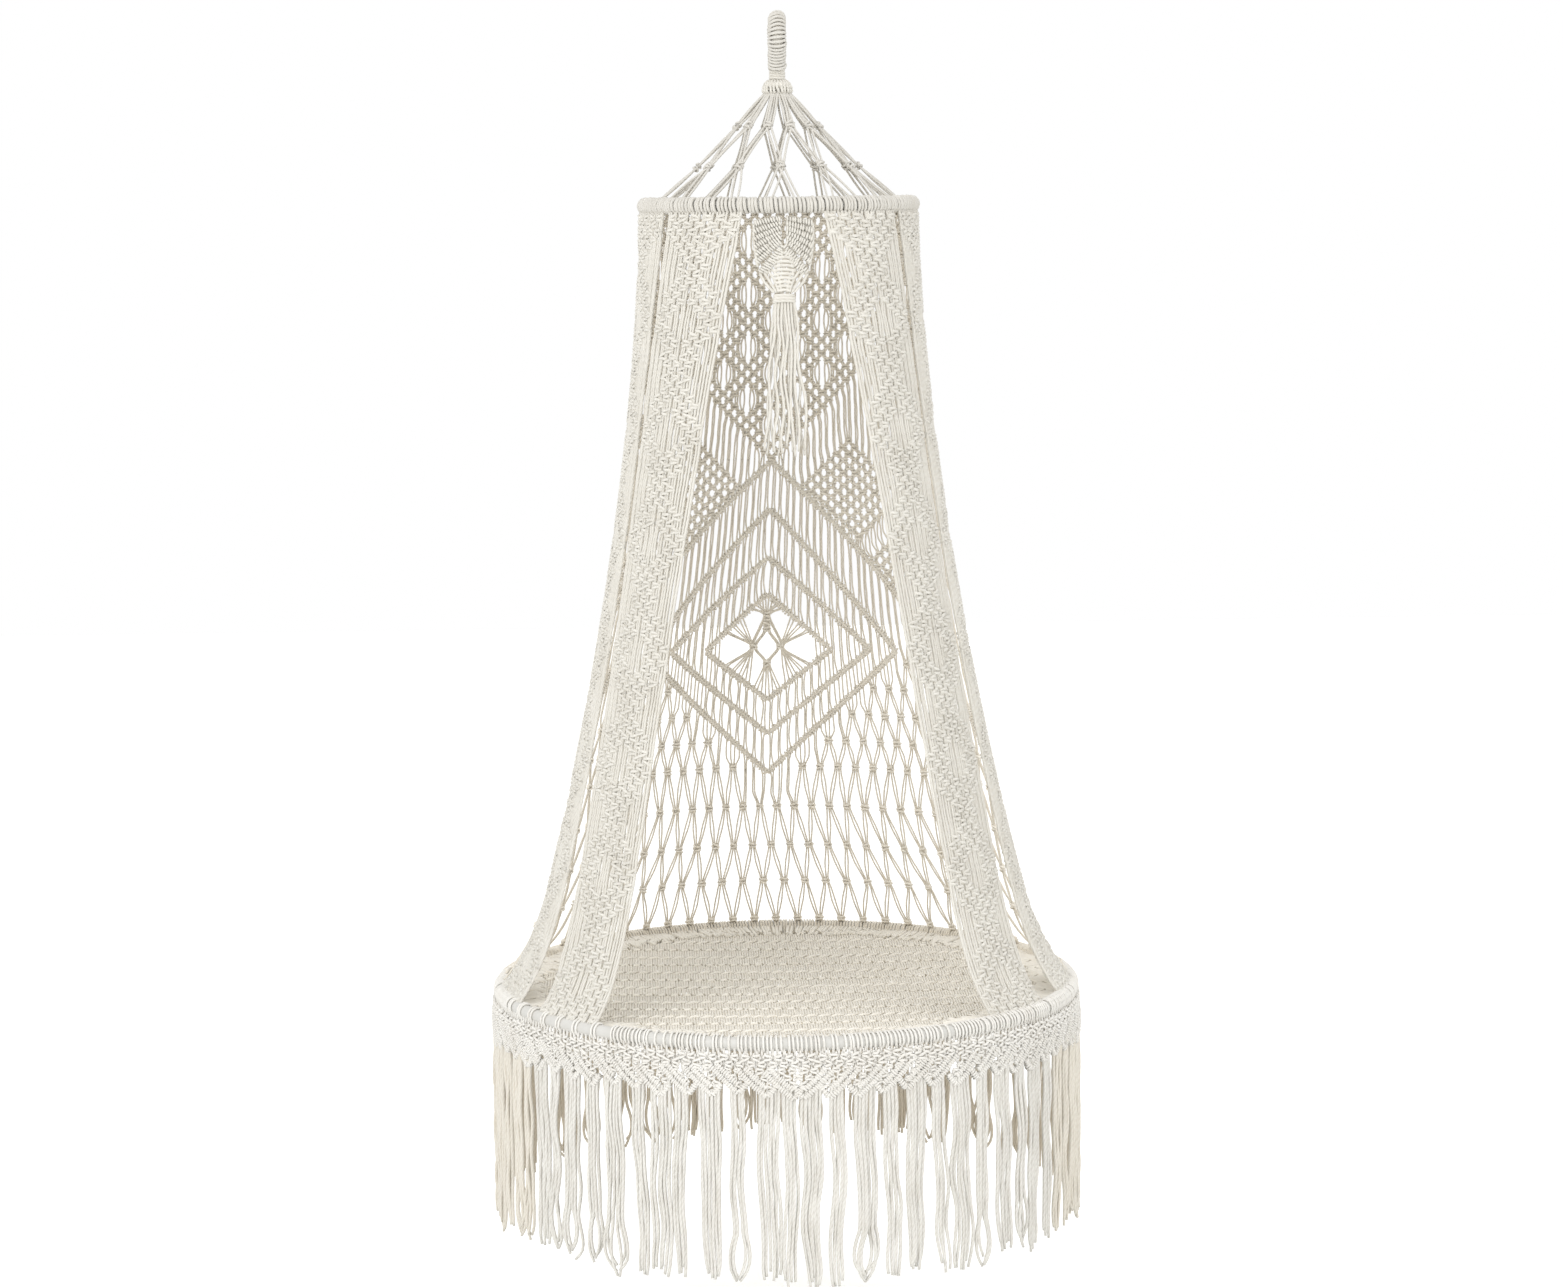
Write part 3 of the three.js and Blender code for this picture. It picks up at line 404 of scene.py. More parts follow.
def coreLine(place, line, radius, samples=60, out=0.0, facing=fronts):
    line = np.asarray(line, float)
    run = lengths(line)
    across, down = alongLine(line, np.linspace(0, run[-1], samples), run)
    paths = place(across[None], down[None], np.full((1, samples), out))
    return tubes(paths, 2 * radius, facing)


def corded(place, line, hitches, radius, samples=60, out=0.0, facing=fronts):
    # Hitches over their core
    return [hitchRow(place, line, *hitches, facing=facing),
            coreLine(place, line, radius, samples, out, facing)]


# The surface that the knotted panels hang on
panel = {"topRadius": 188, "footRadius": 396, "top": -252.1, "foot": -1311.3, "bandWidth": 122, "gap": 10,
    "gapSpread": 50, "openTop": 16, "openSpread": 25,
    "pullAt": (0, 0.33, 0.55, 0.8, 1), "pull": (0, 6, 14, 14, 0)}
panelLength = panel["top"] - panel["foot"]


def toDown(z):
    return panel["top"] - z


def panelRadius(share):
    down = np.clip(share, 0, 1.02)
    flare = 0.83 * down ** 1.64 + 0.17 * down ** 22
    return panel["topRadius"] + (panel["footRadius"] - panel["topRadius"]) * flare


def frontEdge(share):
    return np.radians(panel["openTop"] + panel["openSpread"] * (1 - (1 - np.clip(share, 0, 1)) ** 3))


def sideStart(share):
    room = panel["bandWidth"] + panel["gap"] + panel["gapSpread"] * np.clip(share, 0, 1) ** 3
    return frontEdge(share) + room / panelRadius(share)


def backStart(share):
    return sideStart(share) + (panel["bandWidth"] + panel["gap"]) / panelRadius(share)


def bandPlace(start, mirror):
    # A point across the band, down it and out from it, all in millimetres
    def place(across, down, out):
        share = down / panelLength
        radius = panelRadius(share)
        angle = mirror * (start(share) + (across + panel["bandWidth"] / 2) / radius)
        return around(radius + out, angle, panel["top"] - down)
    return place


def backPlace(across, down, out):
    # The panel's middle hangs a little to the chair's left, most of all in its lower half
    share = down / panelLength
    radius = panelRadius(share)
    edge = (tau / 2 - backStart(share)) * radius
    pulled = np.interp(share, panel["pullAt"], panel["pull"]) * np.clip(1 - (across / edge) ** 2, 0, 1)
    return around(radius + out, np.pi + (across + pulled) / radius, panel["top"] - down)


# The four bands, beside the front opening and at the sides. A knot is its cord, height, width and depth.
band = {"cord": 4.2, "columns": 6, "rowPitch": 9.2, "firstRow": 5, "knot": (4.7, 9.6, 1.05, 0.55),
    "gaps": (2.1, 2.1, 2.1), "bow": 0, "period": 148, "firstWaist": 66, "arm": 0.3, "armSpread": 0.08,
    "swing": 0.68, "fullTop": 20, "fullFoot": 24}


def tiesAt(columns, down, kind):
    # A knot in each of these columns, which takes the pair of cords at each side of it
    return [(column, down, kind, column - 0.6, column + 0.6) for column in columns]


def columnsOf(row, count):
    # Every other row of knots stands between the knots of its neighbours
    return np.arange(count) + 0.5 if row % 2 == 0 else np.arange(1, count) * 1.0


def bandKnots():
    # Knots stand where the distance from the middle is near a zigzag that repeats down the band
    found = []
    for row in range(int(panelLength / band["rowPitch"])):
        down = band["firstRow"] + row * band["rowPitch"]
        columns = columnsOf(row, band["columns"])
        off = np.abs(columns / band["columns"] * 2 - 1)
        phase = ((down - band["firstWaist"]) / band["period"]) % 1
        arm = band["arm"] + band["armSpread"] * down / panelLength
        kept = np.abs(off - band["swing"] * (1 - abs(2 * phase - 1))) < arm
        if down < band["firstWaist"]:
            kept = off < 1.05 - 0.95 * (down - band["fullTop"]) / (band["firstWaist"] - band["fullTop"])
        if down < band["fullTop"] or down > panelLength - band["fullFoot"]:
            kept[:] = True
        found += tiesAt(columns[kept], down, 1)
    return np.array(found)


def addBands():
    ties = bandKnots()
    down = np.linspace(-3, panelLength + 2, 212)
    width = panel["bandWidth"] / band["columns"]
    homes = (np.arange(2 * band["columns"]) + 0.5) / 2

    def acrossOf(column, depth):
        return column * width - panel["bandWidth"] / 2 + 0 * depth

    for part, start in (("front", frontEdge), ("side", sideStart)):
        for hand, mirror in (("right", 1), ("left", -1)):
            place = bandPlace(start, mirror)
            names = [f"{part}_band_{hand}"]
            label = f"{part}Band{hand.title()}"
            paths = fabricPaths(place, homes, acrossOf, ties, down, band)
            sheet = piece(label + "Cords", [tubes(paths, band["cord"])], creamCord, names)
            knotted = knots(place, acrossOf(ties[:, 0], 0), ties[:, 1], *band["knot"])
            tied = piece(label + "Knots", [knotted], knotCord, names)
    print("bands made, knots in each", len(ties))


addBands()

# The back: a lattice, nested diamonds and an open net. Hitches are their cord, core and pitch.
back = {"cord": 2.6, "columns": 30, "gaps": (3.3, 1.35, 3.0), "bow": 2.6, "knot": (3.5, 10.8),
    "netKnot": (3.5, 10.5), "latticePitch": 9.36, "latticeStart": 2.4, "vertexRow": 36, "fold": 7.5,
    "densePitch": 9.2, "slope": 0.974, "hitchesStart": 300.0, "hitchesEnd": 960,
    "hitches": (3.5, 4.2, 4.6), "coreRadius": 2.5,
    "crowdAt": (0.3, 0.5, 0.74, 0.82, 0.94, 1), "crowd": (0, 0.05, 0.10, 0.19, 0.14, 0.24)}
middleColumn = back["columns"] / 2
# Rows of half hitches: apex z, then for the closed ones the corner's x and z and the foot's z
hitchLines = [(-605, None, None, None), (-675, 195, -880, -1070), (-746, 152, -880, -1010),
              (-800, 93, -883, -959)]
netRows = [-860, -898, -938, -979, -1020, -1060, -1121, -1182, -1239, -1303]
# Filled diamonds: how many columns from the middle their own middle is, and its z
denseMiddles = [(6, -650), (10.5, -766)]
# Knots in the innermost diamond: column from the middle, z, and how far to each side it takes cords. There
# are three in a column, one at each side that gathers a fan, and one below.
heart = [(0, -830, 1.6, 1.6), (0, -841, 1.1, 1.1), (0, -852, 1.1, 1.1), (0.85, -879, 0.85, 2.35),
         (-0.85, -879, 2.35, 0.85), (0, -903, 1.1, 1.1)]
# Name, first and last depth, the share of it that cords fill, and the material of its knots, which in the
# lower zones is a copy painted lighter, as painted light
zones = [("lattice", -6, 350, 0.85, innerKnot), ("diamond", 350, 814, 0.8, litBackKnot),
         ("net", 814, 1080, 0.6, litBackKnot)]


def backAcross(column, down):
    # Columns stand closer in the middle of the open net and wider at its sides
    share = down / panelLength
    half = (tau / 2 - backStart(share)) * panelRadius(share)
    off = column / middleColumn - 1
    crowd = np.interp(share, back["crowdAt"], back["crowd"])
    return half * (off * (1 - crowd) + crowd * off ** 3)


def lineDown(x, line):
    # Depth of a slanting row of hitches at a distance x from the middle: its upper and lower part
    apex, reach, corner, foot = line
    x = np.abs(x)
    if reach is None:
        return toDown(apex - back["slope"] * x), np.full_like(x, np.nan)
    share = np.where(x <= reach, x / reach, np.nan)
    return [toDown(tip) + (toDown(corner) - toDown(tip)) * share for tip in (apex, foot)]


def latticeKnots():
    # Two crossing sets of slanting bands, two knots wide, down to a zigzag edge with its point in the middle
    found = []
    for row in range(back["vertexRow"] + 2):
        columns = columnsOf(row + back["vertexRow"], back["columns"])
        off = back["fold"] - np.abs(np.abs(columns - middleColumn) - back["fold"])
        depth = (row - back["vertexRow"]) / 2
        falling, rising = np.round(off - depth + 0.5), np.round(off + depth + 0.5)
        kept = (np.isin(falling % 4, (0, 1)) | np.isin(rising % 4, (0, 1))) & (rising <= 1)
        if row < 2:
            kept[:] = True
        found += tiesAt(columns[kept], back["latticeStart"] + row * back["latticePitch"], 1)
    return found


def denseKnots():
    # The filled diamonds stand on the uppermost slanting row of hitches
    found = []
    for middle, z in denseMiddles:
        for row in range(-9, 10):
            down = toDown(z) + row * back["densePitch"]
            columns = np.arange(-8, 9) / 2 + middle
            parity = np.round(2 * (columns - middle)).astype(int) % 2 == row % 2
            columns = columns[parity & (np.abs(columns - middle) / 4.2 + abs(row) / 8.6 <= 1.001)]
            for side in (-1, 1):
                places = middleColumn + side * columns
                x = backAcross(places, down)
                kept = (down < lineDown(x, hitchLines[0])[0] - 2) & (columns < middleColumn - 0.3)
                found += tiesAt(places[kept], down, 1)
    return found


def netKnots():
    # Below the lowest diamond, and beside it below the uppermost row of hitches
    found = []
    for row, z in enumerate(netRows):
        down = toDown(z)
        columns = columnsOf(row, back["columns"])
        x = backAcross(columns, down)
        below, above = lineDown(x, hitchLines[1])[1], lineDown(x, hitchLines[0])[0]
        kept = np.where(np.isnan(below), down > above + 40, down > below + 16)
        found += tiesAt(columns[kept], down, 2)
    return found


def heartKnots():
    return [(middleColumn + column, toDown(z), 3, middleColumn + column - left, middleColumn + column + right)
            for column, z, left, right in heart]


def hitchCrossings(homes):
    # Where each pair of cords meets a slanting row of hitches, found by stepping down to it
    found = []
    for line in hitchLines:
        for part in (0, 1):
            down = np.full(len(homes), back["hitchesStart"])
            for _ in range(14):
                met = lineDown(backAcross(homes, down), line)[part]
                down = np.where(np.isnan(met), down, 0.5 * down + 0.5 * met)
            good = ~np.isnan(met) & (np.abs(met - down) < 2) & (down < back["hitchesEnd"])
            found += [(h, d, 0, h - 0.01, h + 0.01) for h, d in zip(homes[good], down[good])]
    return found


def hitchRows(hand):
    # The slanting rows of hitches on one half of the back
    made = []
    for line in hitchLines:
        for part in (0, 1):
            at = np.linspace(0, 640, 500) * hand
            depth = lineDown(at, line)[part]
            edge = backAcross(back["columns"], np.nan_to_num(depth))
            good = ~np.isnan(depth) & (np.abs(at) < edge) & (depth < back["hitchesEnd"])
            if good.sum() > 2:
                route = np.stack([at[good], depth[good]], axis=-1)
                made += corded(backPlace, route, back["hitches"], back["coreRadius"])
    return made


def addBack():
    tied = np.array(latticeKnots() + denseKnots() + netKnots() + heartKnots())
    homes = (np.arange(2 * back["columns"]) + 0.5) / 2
    ties = np.concatenate([np.array(hitchCrossings(homes)), tied])
    down = np.concatenate([np.linspace(-3, 350, 148)[:-1], np.arange(350, panelLength + 2, 4.0)])
    paths = fabricPaths(backPlace, homes, backAcross, ties, down, back)
    halves = (("Right", ("right", "inner_right"), -1, paths[:len(homes)]),
              ("Left", ("inner_left", "left"), 1, paths[len(homes):]))
    for zone, low, high, filled, tone in zones:
        inside = np.where((down >= low) & (down <= high))[0]
        for label, nodes, hand, cords in halves:
            run = cords[:, inside[0]:inside[-1] + 1]
            here = tied[(tied[:, 1] >= low) & (tied[:, 1] < high)]
            here = here[hand * (here[:, 0] - middleColumn) >= (0 if hand > 0 else 1e-6)]
            x = backAcross(here[:, 0], here[:, 1])
            openWork = here[:, 2] == 2
            knotted = [knots(backPlace, x[kept], here[kept, 1], *back[kind])
                       for kept, kind in ((~openWork, "knot"), (openWork, "netKnot")) if kept.any()]
            if zone == "diamond":
                knotted += hitchRows(hand)
            names = [f"back_{zone}_{n}" for n in nodes]
            label = f"back{zone.title()}{label}"
            sheet = piece(label + "Cords", [tubes(run, back["cord"])], innerCord, names)
            tight = piece(label + "Knots", knotted, tone, names)
    print("back made, knots", len(tied))


addBack()

# Hoops: radius, z and diameter of their tubes
hoops = {"upper": (181.5, -241, 14.8), "seat": (396, -1320, 18), "cord": 4.7, "pitch": 5.0, "sunk": 0.2}


def hoopTurns(radius, drop, reach, angles, cord, spanned, slant, steps=9, leant=0.0):
    # Arcs of cord at a reach from the middle of a hoop's tube. The middle of each is leant from the
    # tube's top to its outside.
    turn = np.radians(np.linspace(-spanned / 2, spanned / 2, steps) + leant)
    out = radius + reach * np.sin(turn)
    z = drop + reach * np.cos(turn)
    angle = angles[:, None] + np.linspace(-0.5, 0.5, steps) * (slant / radius)
    paths = around(out[None] + 0 * angle, angle, z[None])
    centre = around(radius + 0 * angle, angle, drop)
    return tubes(paths, cord, unit(paths - centre + [0.00002, 0.00003, 0.00001]))


def addUpperWrap():
    # One helix round the small hoop, its turns a little uneven in pitch and in how far they stand out
    radius, drop, tube = hoops["upper"]
    pitch, cord = hoops["pitch"], hoops["cord"]
    turns = int(tau * radius / pitch)
    share = np.arange(turns * 12 + 1) / (turns * 12)
    whole = np.arange(turns + 1) / turns
    loose = np.interp(share, whole, np.clip(random.normal(0, 0.5, turns + 1), -0.6, 1.0))
    shift = np.interp(share, whole, random.normal(0, 0.22, turns + 1)) * pitch / radius
    reach = tube / 2 + cord / 2 - hoops["sunk"] + loose
    turn = tau * turns * share
    # the shift fades out where the helix begins and ends
    angle = tau * share + shift * np.sin(np.pi * np.minimum(1, 40 * np.minimum(share, 1 - share)) / 2)
    paths = around(radius + reach * np.sin(turn), angle, drop + reach * np.cos(turn))[None]
    centre = around(radius + 0 * share, angle, drop)[None]
    piece("upperHoopWrap", [tubes(paths, cord, unit(paths - centre), 6)], woundCord, ["upper_hoop_wrap"])


addUpperWrap()


def ringTube(radius, drop, tube, segments=160, sides=20):
    # A round section carried round the chair's axis
    a = tau * np.arange(segments)[:, None] / segments
    b = tau * np.arange(sides) / sides
    far, z = radius + tube / 2 * np.cos(b), drop + tube / 2 * np.sin(b)
    points = around(far + 0 * a, a + 0 * b, z).reshape(-1, 3)
    index = np.arange(segments * sides).reshape(segments, sides)
    nextA, nextB = np.roll(index, -1, 0), np.roll(index, -1, 1)
    quads = np.stack([index, nextA, np.roll(nextA, -1, 1), nextB], -1).reshape(-1, 4)
    return {"points": points, "quads": quads, "caps": np.zeros((0, 3), int),
            "quadUv": np.zeros((quads.size, 2)), "capUv": np.zeros((0, 2))}


piece("seatHoopTube", [ringTube(*hoops["seat"])], whiteSteel, ["seat_hoop"])

# Seat: fine cords side by side, twined across in rows, and spread to the hoop at its rim
seat = {"woven": 356, "rim": 387.5, "sag": 8, "warp": 3.6, "row": 50, "dip": 1.6, "dipWidth": 9, "ply": 5.4,
    "plyHalf": 4.6, "plyLift": 2.6, "plyPitch": 35, "plyStep": 1.9, "plySunk": 0.9, "rimCord": 5.3,
    "rimPitch": 5.4, "rimMiddle": 372, "rimStart": 346, "rimMissing": 0.05, "flat": 774, "area": 470500}


def seatHeight(x, y):
    # A shallow dish, drawn in along every twined row
    fromRow = (y + seat["row"] / 2) % seat["row"] - seat["row"] / 2
    dish = seat["sag"] * (1 - (x ** 2 + y ** 2) / seat["rim"] ** 2)
    return hoops["seat"][1] - dish - seat["dip"] * np.exp(-(fromRow / seat["dipWidth"]) ** 2)


def addSeat():
    woven, pitch = seat["woven"], seat["row"]
    nearlyUp = (0.02, 0.01, 1.0)
    xs = np.arange(2 - woven, woven - 1, seat["warp"])
    y = np.sqrt(woven ** 2 - xs ** 2)[:, None] * np.linspace(-1, 1, 112)
    x = xs[:, None] + smoothed(random.normal(0, 0.5, y.shape), 5)
    paths = np.stack([x, y, seatHeight(x, y)], -1) * mm
    weave = piece("seatWeave", [tubes(paths, seat["warp"], nearlyUp, 4)], seatCordLitAndShaded, ["seat_weave"])
    rows = []
    last = int(woven / pitch)
    for row in range(-last, last + 1):
        across = math.sqrt(woven ** 2 - (row * pitch) ** 2) - 3
        x = np.linspace(-across, across, int(across / seat["plyStep"]))
        for ply in (0, 1):
            turn = tau * x / seat["plyPitch"] + np.pi * (ply + row % 2 / 2) + 0.25 * np.sin(x / 71 + row)
            y = row * pitch - seat["plyHalf"] * np.cos(turn)
            z = seatHeight(x, y) - seat["plySunk"] + seat["plyLift"] * np.sin(turn)
            rows.append(tubes(np.stack([x, y, z], -1)[None] * mm, seat["ply"], nearlyUp))
    twined = piece("seatTwining", rows, seatCordLitAndShaded)
    count = int(tau * seat["rimMiddle"] / seat["rimPitch"])
    angle = (np.arange(count) + random.normal(0, 0.1, count)) * tau / count
    angle = angle[random.random(count) > seat["rimMissing"]][:, None]
    share = np.linspace(0, 1, 8)
    start = seat["rimStart"] + random.uniform(-12, 8, angle.shape)
    radius = start + (seat["rim"] - start) * share
    spokes = around(radius, angle + 0.012 * np.sin(7 * angle) * (1 - share), 0 * radius)
    rise = 0.6 + 2.2 * np.sin(np.pi * np.minimum(1, 0.25 + share)) + 2.5 * share ** 2
    spokes[..., 2] = (seatHeight(spokes[..., 0] / mm, spokes[..., 1] / mm) + rise) * mm
    spread = tubes(spokes, seat["rimCord"], (0.0, 0.0, 1.0))
    return weave, [twined, piece("seatRimCords", [spread], seatCordLitAndShaded)]


seatWeave, seatParts = addSeat()

# Hitches over the seat hoop: close together, but in pairs with gaps at the front's left. Those in front and
# at the back are cord, degrees and slant.
hitches = {"pitch": 5.5, "bare": (-1.25, -0.62), "group": 6, "kept": 2, "missing": 0.09, "turned": 1.75,
    "backPitch": 4.4, "out": 1.9, "front": (3.2, 250, 2.6), "back": (3.7, 330, 2.6)}


def addHitches():
    radius, drop, tube = hoops["seat"]
    reach, turned = tube / 2 + hitches["out"], hitches["turned"]
    count = int(tau * radius / hitches["pitch"])
    slots = np.arange(count)
    angle = slots * tau / count - np.pi
    bare = (angle > hitches["bare"][0]) & (angle < hitches["bare"][1])
    paired, common = slots % hitches["group"] < hitches["kept"], random.random(count) > hitches["missing"]
    kept = np.where(bare, paired, common) & (np.abs(angle) < turned)
    angles = (angle + random.normal(0, 0.12, count) * tau / count)[kept]
    over = hoopTurns(radius, drop, reach, angles, *hitches["front"], leant=35)
    rear = np.linspace(turned, tau - turned, int((tau - 2 * turned) * radius / hitches["backPitch"]))
    rear = rear + random.normal(0, 0.0012, len(rear))
    covered = hoopTurns(radius, drop, reach, rear, *hitches["back"])
    return [piece("hoopHitches", [over], thinCord), piece("hoopHitchesBack", [covered], innerCord)]


# Valance: knots, leaves of hitches below them, and the fringe. Depths are from its top edge, and ridges are
# cord, core and pitch.
valance = {"leaves": 36, "radius": 406.2, "top": -1333, "tip": 54, "steep": 0.95, "shortSteep": 1.3,
    "skew": 12, "longFlanks": ((38, 0), (29, 11.5)), "shortFlank": 12, "shallow": 12,
    "ridge": (2.8, 4.8, 3.3), "coreRadius": 3.0, "knotPitch": 14.18, "knotRows": (2.5, 11.0),
    "knot": (3.7, 10, 1, 0.6), "fillRows": (20, 29, 38), "fillShift": 7, "fill": (3.5, 9.5, 1, 0.4),
    "backing": (-9, 22), "backingOut": (-3.0, -2.4, -2.2, -2.2, -2.2), "backingCord": 3.6}
fringe = {"bunches": (6, 4), "middles": (-14.5, 20), "pitch": 4.9, "cord": 5.2, "end": -1646, "ragged": 34,
    "highest": 20, "looped": 0.4, "loop": (0.92, 0.76), "bulge": 5.5, "zones": (1.05, 1.65)}
alongStrand = np.linspace(0, 1, 36)


def valancePlace(across, down, out):
    radius = valance["radius"]
    return around(radius + out, across / radius, valance["top"] - down)


def valanceLeaf(middle, hand, teeth):
    # Every tooth has two long ridges of hitches on one flank and a short one on the other
    tips = valance["tip"] + random.normal(0, 2.5, 2)
    ridges = [(-hand, reach, valance["steep"], lift) for reach, lift in valance["longFlanks"]]
    ridges.append((hand, valance["shortFlank"], valance["shortSteep"], 1))
    made = []
    for point, tip in zip(teeth, tips):
        for way, reach, steep, lift in ridges:
            x = np.array([reach, reach * 0.5, 0.6])
            route = np.stack([point + way * x, tip - lift - steep * x + [0, 1.5, 0]], -1)
            route[:, 1] = np.maximum(route[:, 1], valance["shallow"])
            made += corded(valancePlace, route, valance["ridge"], valance["coreRadius"], 12, 0.6)
    # knots between the ridges, wherever a tooth reaches lower
    columns = middle + np.arange(-2, 3) * valance["knotPitch"]
    fill = np.stack(np.meshgrid(columns, valance["fillRows"]), -1).reshape(-1, 2)
    fill[:, 0] += np.where(fill[:, 1] == valance["fillRows"][1], valance["fillShift"], 0)
    off = (fill[:, :1] - teeth) * hand
    flank = np.where(off < 0, valance["steep"] * off, -valance["shortSteep"] * off)
    across, down = fill[fill[:, 1] < (tips - 7 + flank).max(1)].T
    return made + [knots(valancePlace, across, down, *valance["fill"])]


def fringeStrands(middle, hand, teeth):
    # A leaf's strands hang in two bunches. Each bunch sways as one, and some open above their end and
    # close there in a loop.
    share, cords, n = alongStrand, fringe["bunches"], sum(fringe["bunches"])
    which = np.repeat([0, 1], cords)
    beside = np.concatenate([np.arange(k) - (k - 1) / 2 for k in cords])
    bunch = (np.array(fringe["middles"]) + random.normal(0, 3, 2))[which]
    moved = 0.4 * hand * valance["skew"] + fringe["pitch"] * beside
    start = middle + bunch + moved + random.normal(0, 0.5, n)
    shorter = 0.5 * fringe["ragged"] * (random.random(2)[which] + random.random(n))
    foot = valance["top"] - fringe["end"] - shorter
    fromTooth = np.abs(start[:, None] - teeth).min(1)
    begin = np.maximum(valance["tip"] - valance["steep"] * fromTooth - 8, fringe["highest"])
    down = begin[:, None] + share * (foot - begin)[:, None]
    common = sway(share, (1, 3.5), (0.8, 2.2), 2, np.multiply) + random.normal(0, 4, (2, 1)) * share
    spread = random.uniform(-0.35, 0.3, (2, 1)) * share ** 1.5
    looped = random.random((2, 1)) < fringe["looped"]
    closing, opening = (np.clip((share - first) / (1 - first), 0, 1) for first in fringe["loop"])
    spread = spread + np.where(looped, -0.8, -0.2) * closing ** 2
    bulge = np.where(looped, fringe["bulge"], 0.0) * np.sin(np.pi * opening)
    swayed = (common[which] + sway(down, (0.2, 0.9), (60, 150), n)) * np.minimum(3 * share, 1)
    aside = fringe["pitch"] * beside[:, None] * spread[which] + np.sign(beside)[:, None] * bulge[which]
    out = random.uniform(-1.5, 2.5, (n, 1)) * np.minimum(4 * share, 1) + sway(down, (0.3, 1.6), (70, 130), n)
    return valancePlace(start[:, None] + aside + swayed, down, out)


def addValance():
    around360 = tau * valance["radius"]
    pitch = around360 / valance["leaves"]
    leaves, strands = {"Right": [], "Left": []}, {"Right": [], "Left": []}
    for leaf in range(valance["leaves"]):
        side, hand = ("Right", -1) if leaf < valance["leaves"] // 2 else ("Left", 1)
        middle = (leaf + 0.5) * pitch
        teeth = middle + np.array([-0.25, 0.25]) * pitch + hand * valance["skew"] + random.normal(0, 1.5, 2)
        leaves[side] += valanceLeaf(middle, hand, teeth)
        strands[side].append(fringeStrands(middle, hand, teeth))
    made = []
    count = int(around360 / 2 / valance["knotPitch"])
    for side, low, first in (("Right", 1, 0), ("Left", 7, around360 / 2)):
        names = [f"valance_{i:02d}" for i in range(low, low + 6)]
        for row, depth in enumerate(valance["knotRows"]):
            across = first + (np.arange(count) + 0.25 + 0.5 * row) * around360 / 2 / count
            leaves[side].append(knots(valancePlace, across, np.full(count, depth), *valance["knot"]))
        across = first + (np.arange(2 * count) + 0.5) * around360 / 4 / count
        down = np.linspace(*valance["backing"], 5)
        backing = valancePlace(across[:, None], down, np.array(valance["backingOut"]))
        leaves[side].append(tubes(backing, valance["backingCord"]))
        made.append(piece(f"valanceLeaves{side}", leaves[side], thinCord, names))
        paths = np.concatenate(strands[side])
        turned = np.abs(np.arctan2(paths[:, 0, 0], -paths[:, 0, 1]))
        zone = np.digitize(turned, fringe["zones"])
        thick = fringe["cord"] * (1 - 0.25 * alongStrand ** 6)
        # The side and back strands take the copies of the cord that are painted with shade
        for k, (label, material) in enumerate((("Front", hungCord), ("Side", sideShadeCord), ("Back", backShadeCord))):
            made.append(piece(f"fringe{label}{side}", [tubes(paths[zone == k], thick)], material, names))
    return made


hanging = seatParts + addHitches() + addValance()

# Suspension net: its rings of points as radius and z
net = {"groups": 12, "cord": 3.1, "collar": (14, -87), "first": (57, -134), "second": (110, -189),
    "rim": (171, -240), "knot": (3.7, 11.5), "knotSlope": (54, 53), "atKnot": 6.4}


def addNet():
    # Straight cords between three rings of points: pairs spread from knot to knot, closest at the knots
    step = tau / net["groups"]
    t = np.linspace(0, 1, 9)[:, None]
    paths = []

    def run(fromSpot, toSpot, fromAngle, toAngle, cords, fromGap, toGap):
        first = around(fromSpot[0], np.array(fromAngle), fromSpot[1])
        last = around(toSpot[0], np.array(toAngle), toSpot[1])
        middle = (fromAngle + toAngle) / 2
        aside = np.array([math.cos(middle), math.sin(middle), 0]) * mm
        for k in range(cords):
            shift = (k - (cords - 1) / 2) * (fromGap + (toGap - fromGap) * t)
            slack = random.normal(0, 1.0, 3) * [1, 1, 1.4] * mm * np.sin(np.pi * t)
            paths.append(first + (last - first) * t + aside * shift + slack)

    for group in range(net["groups"]):
        knot, split, gap = (group + 0.5) * step, group * step, net["atKnot"]
        run(net["collar"], net["first"], knot, knot, 4, 2.4, 3.6)
        for aside in (0, step):
            run(net["first"], net["second"], knot, split + aside, 2, gap, gap)
        for aside in (-step / 4, step / 4):
            run(net["second"], net["rim"], split, split + aside, 2, gap, 7.6)
    paths = np.array(paths)
    outwards = unit(unit(paths * [1, 1, 0]) + [0.01, 0.02, 1.0])
    parts = [tubes(paths, net["cord"], outwards, 6)]
    slope = math.atan2(*net["knotSlope"])
    for (radius, z), shift in ((net["first"], 0.5), (net["second"], 0.0)):
        angles = (np.arange(net["groups"]) + shift) * step

        def place(across, down, out, radius=radius, z=z):
            far = radius + down * math.cos(slope) + out * math.sin(slope)
            return around(far, across / radius, z - down * math.sin(slope) + out * math.cos(slope))

        parts.append(knots(place, angles * radius, 0 * angles, *net["knot"], sides=6))
    piece("suspensionNet", parts, woundCord, ["suspension_net"])


addNet()

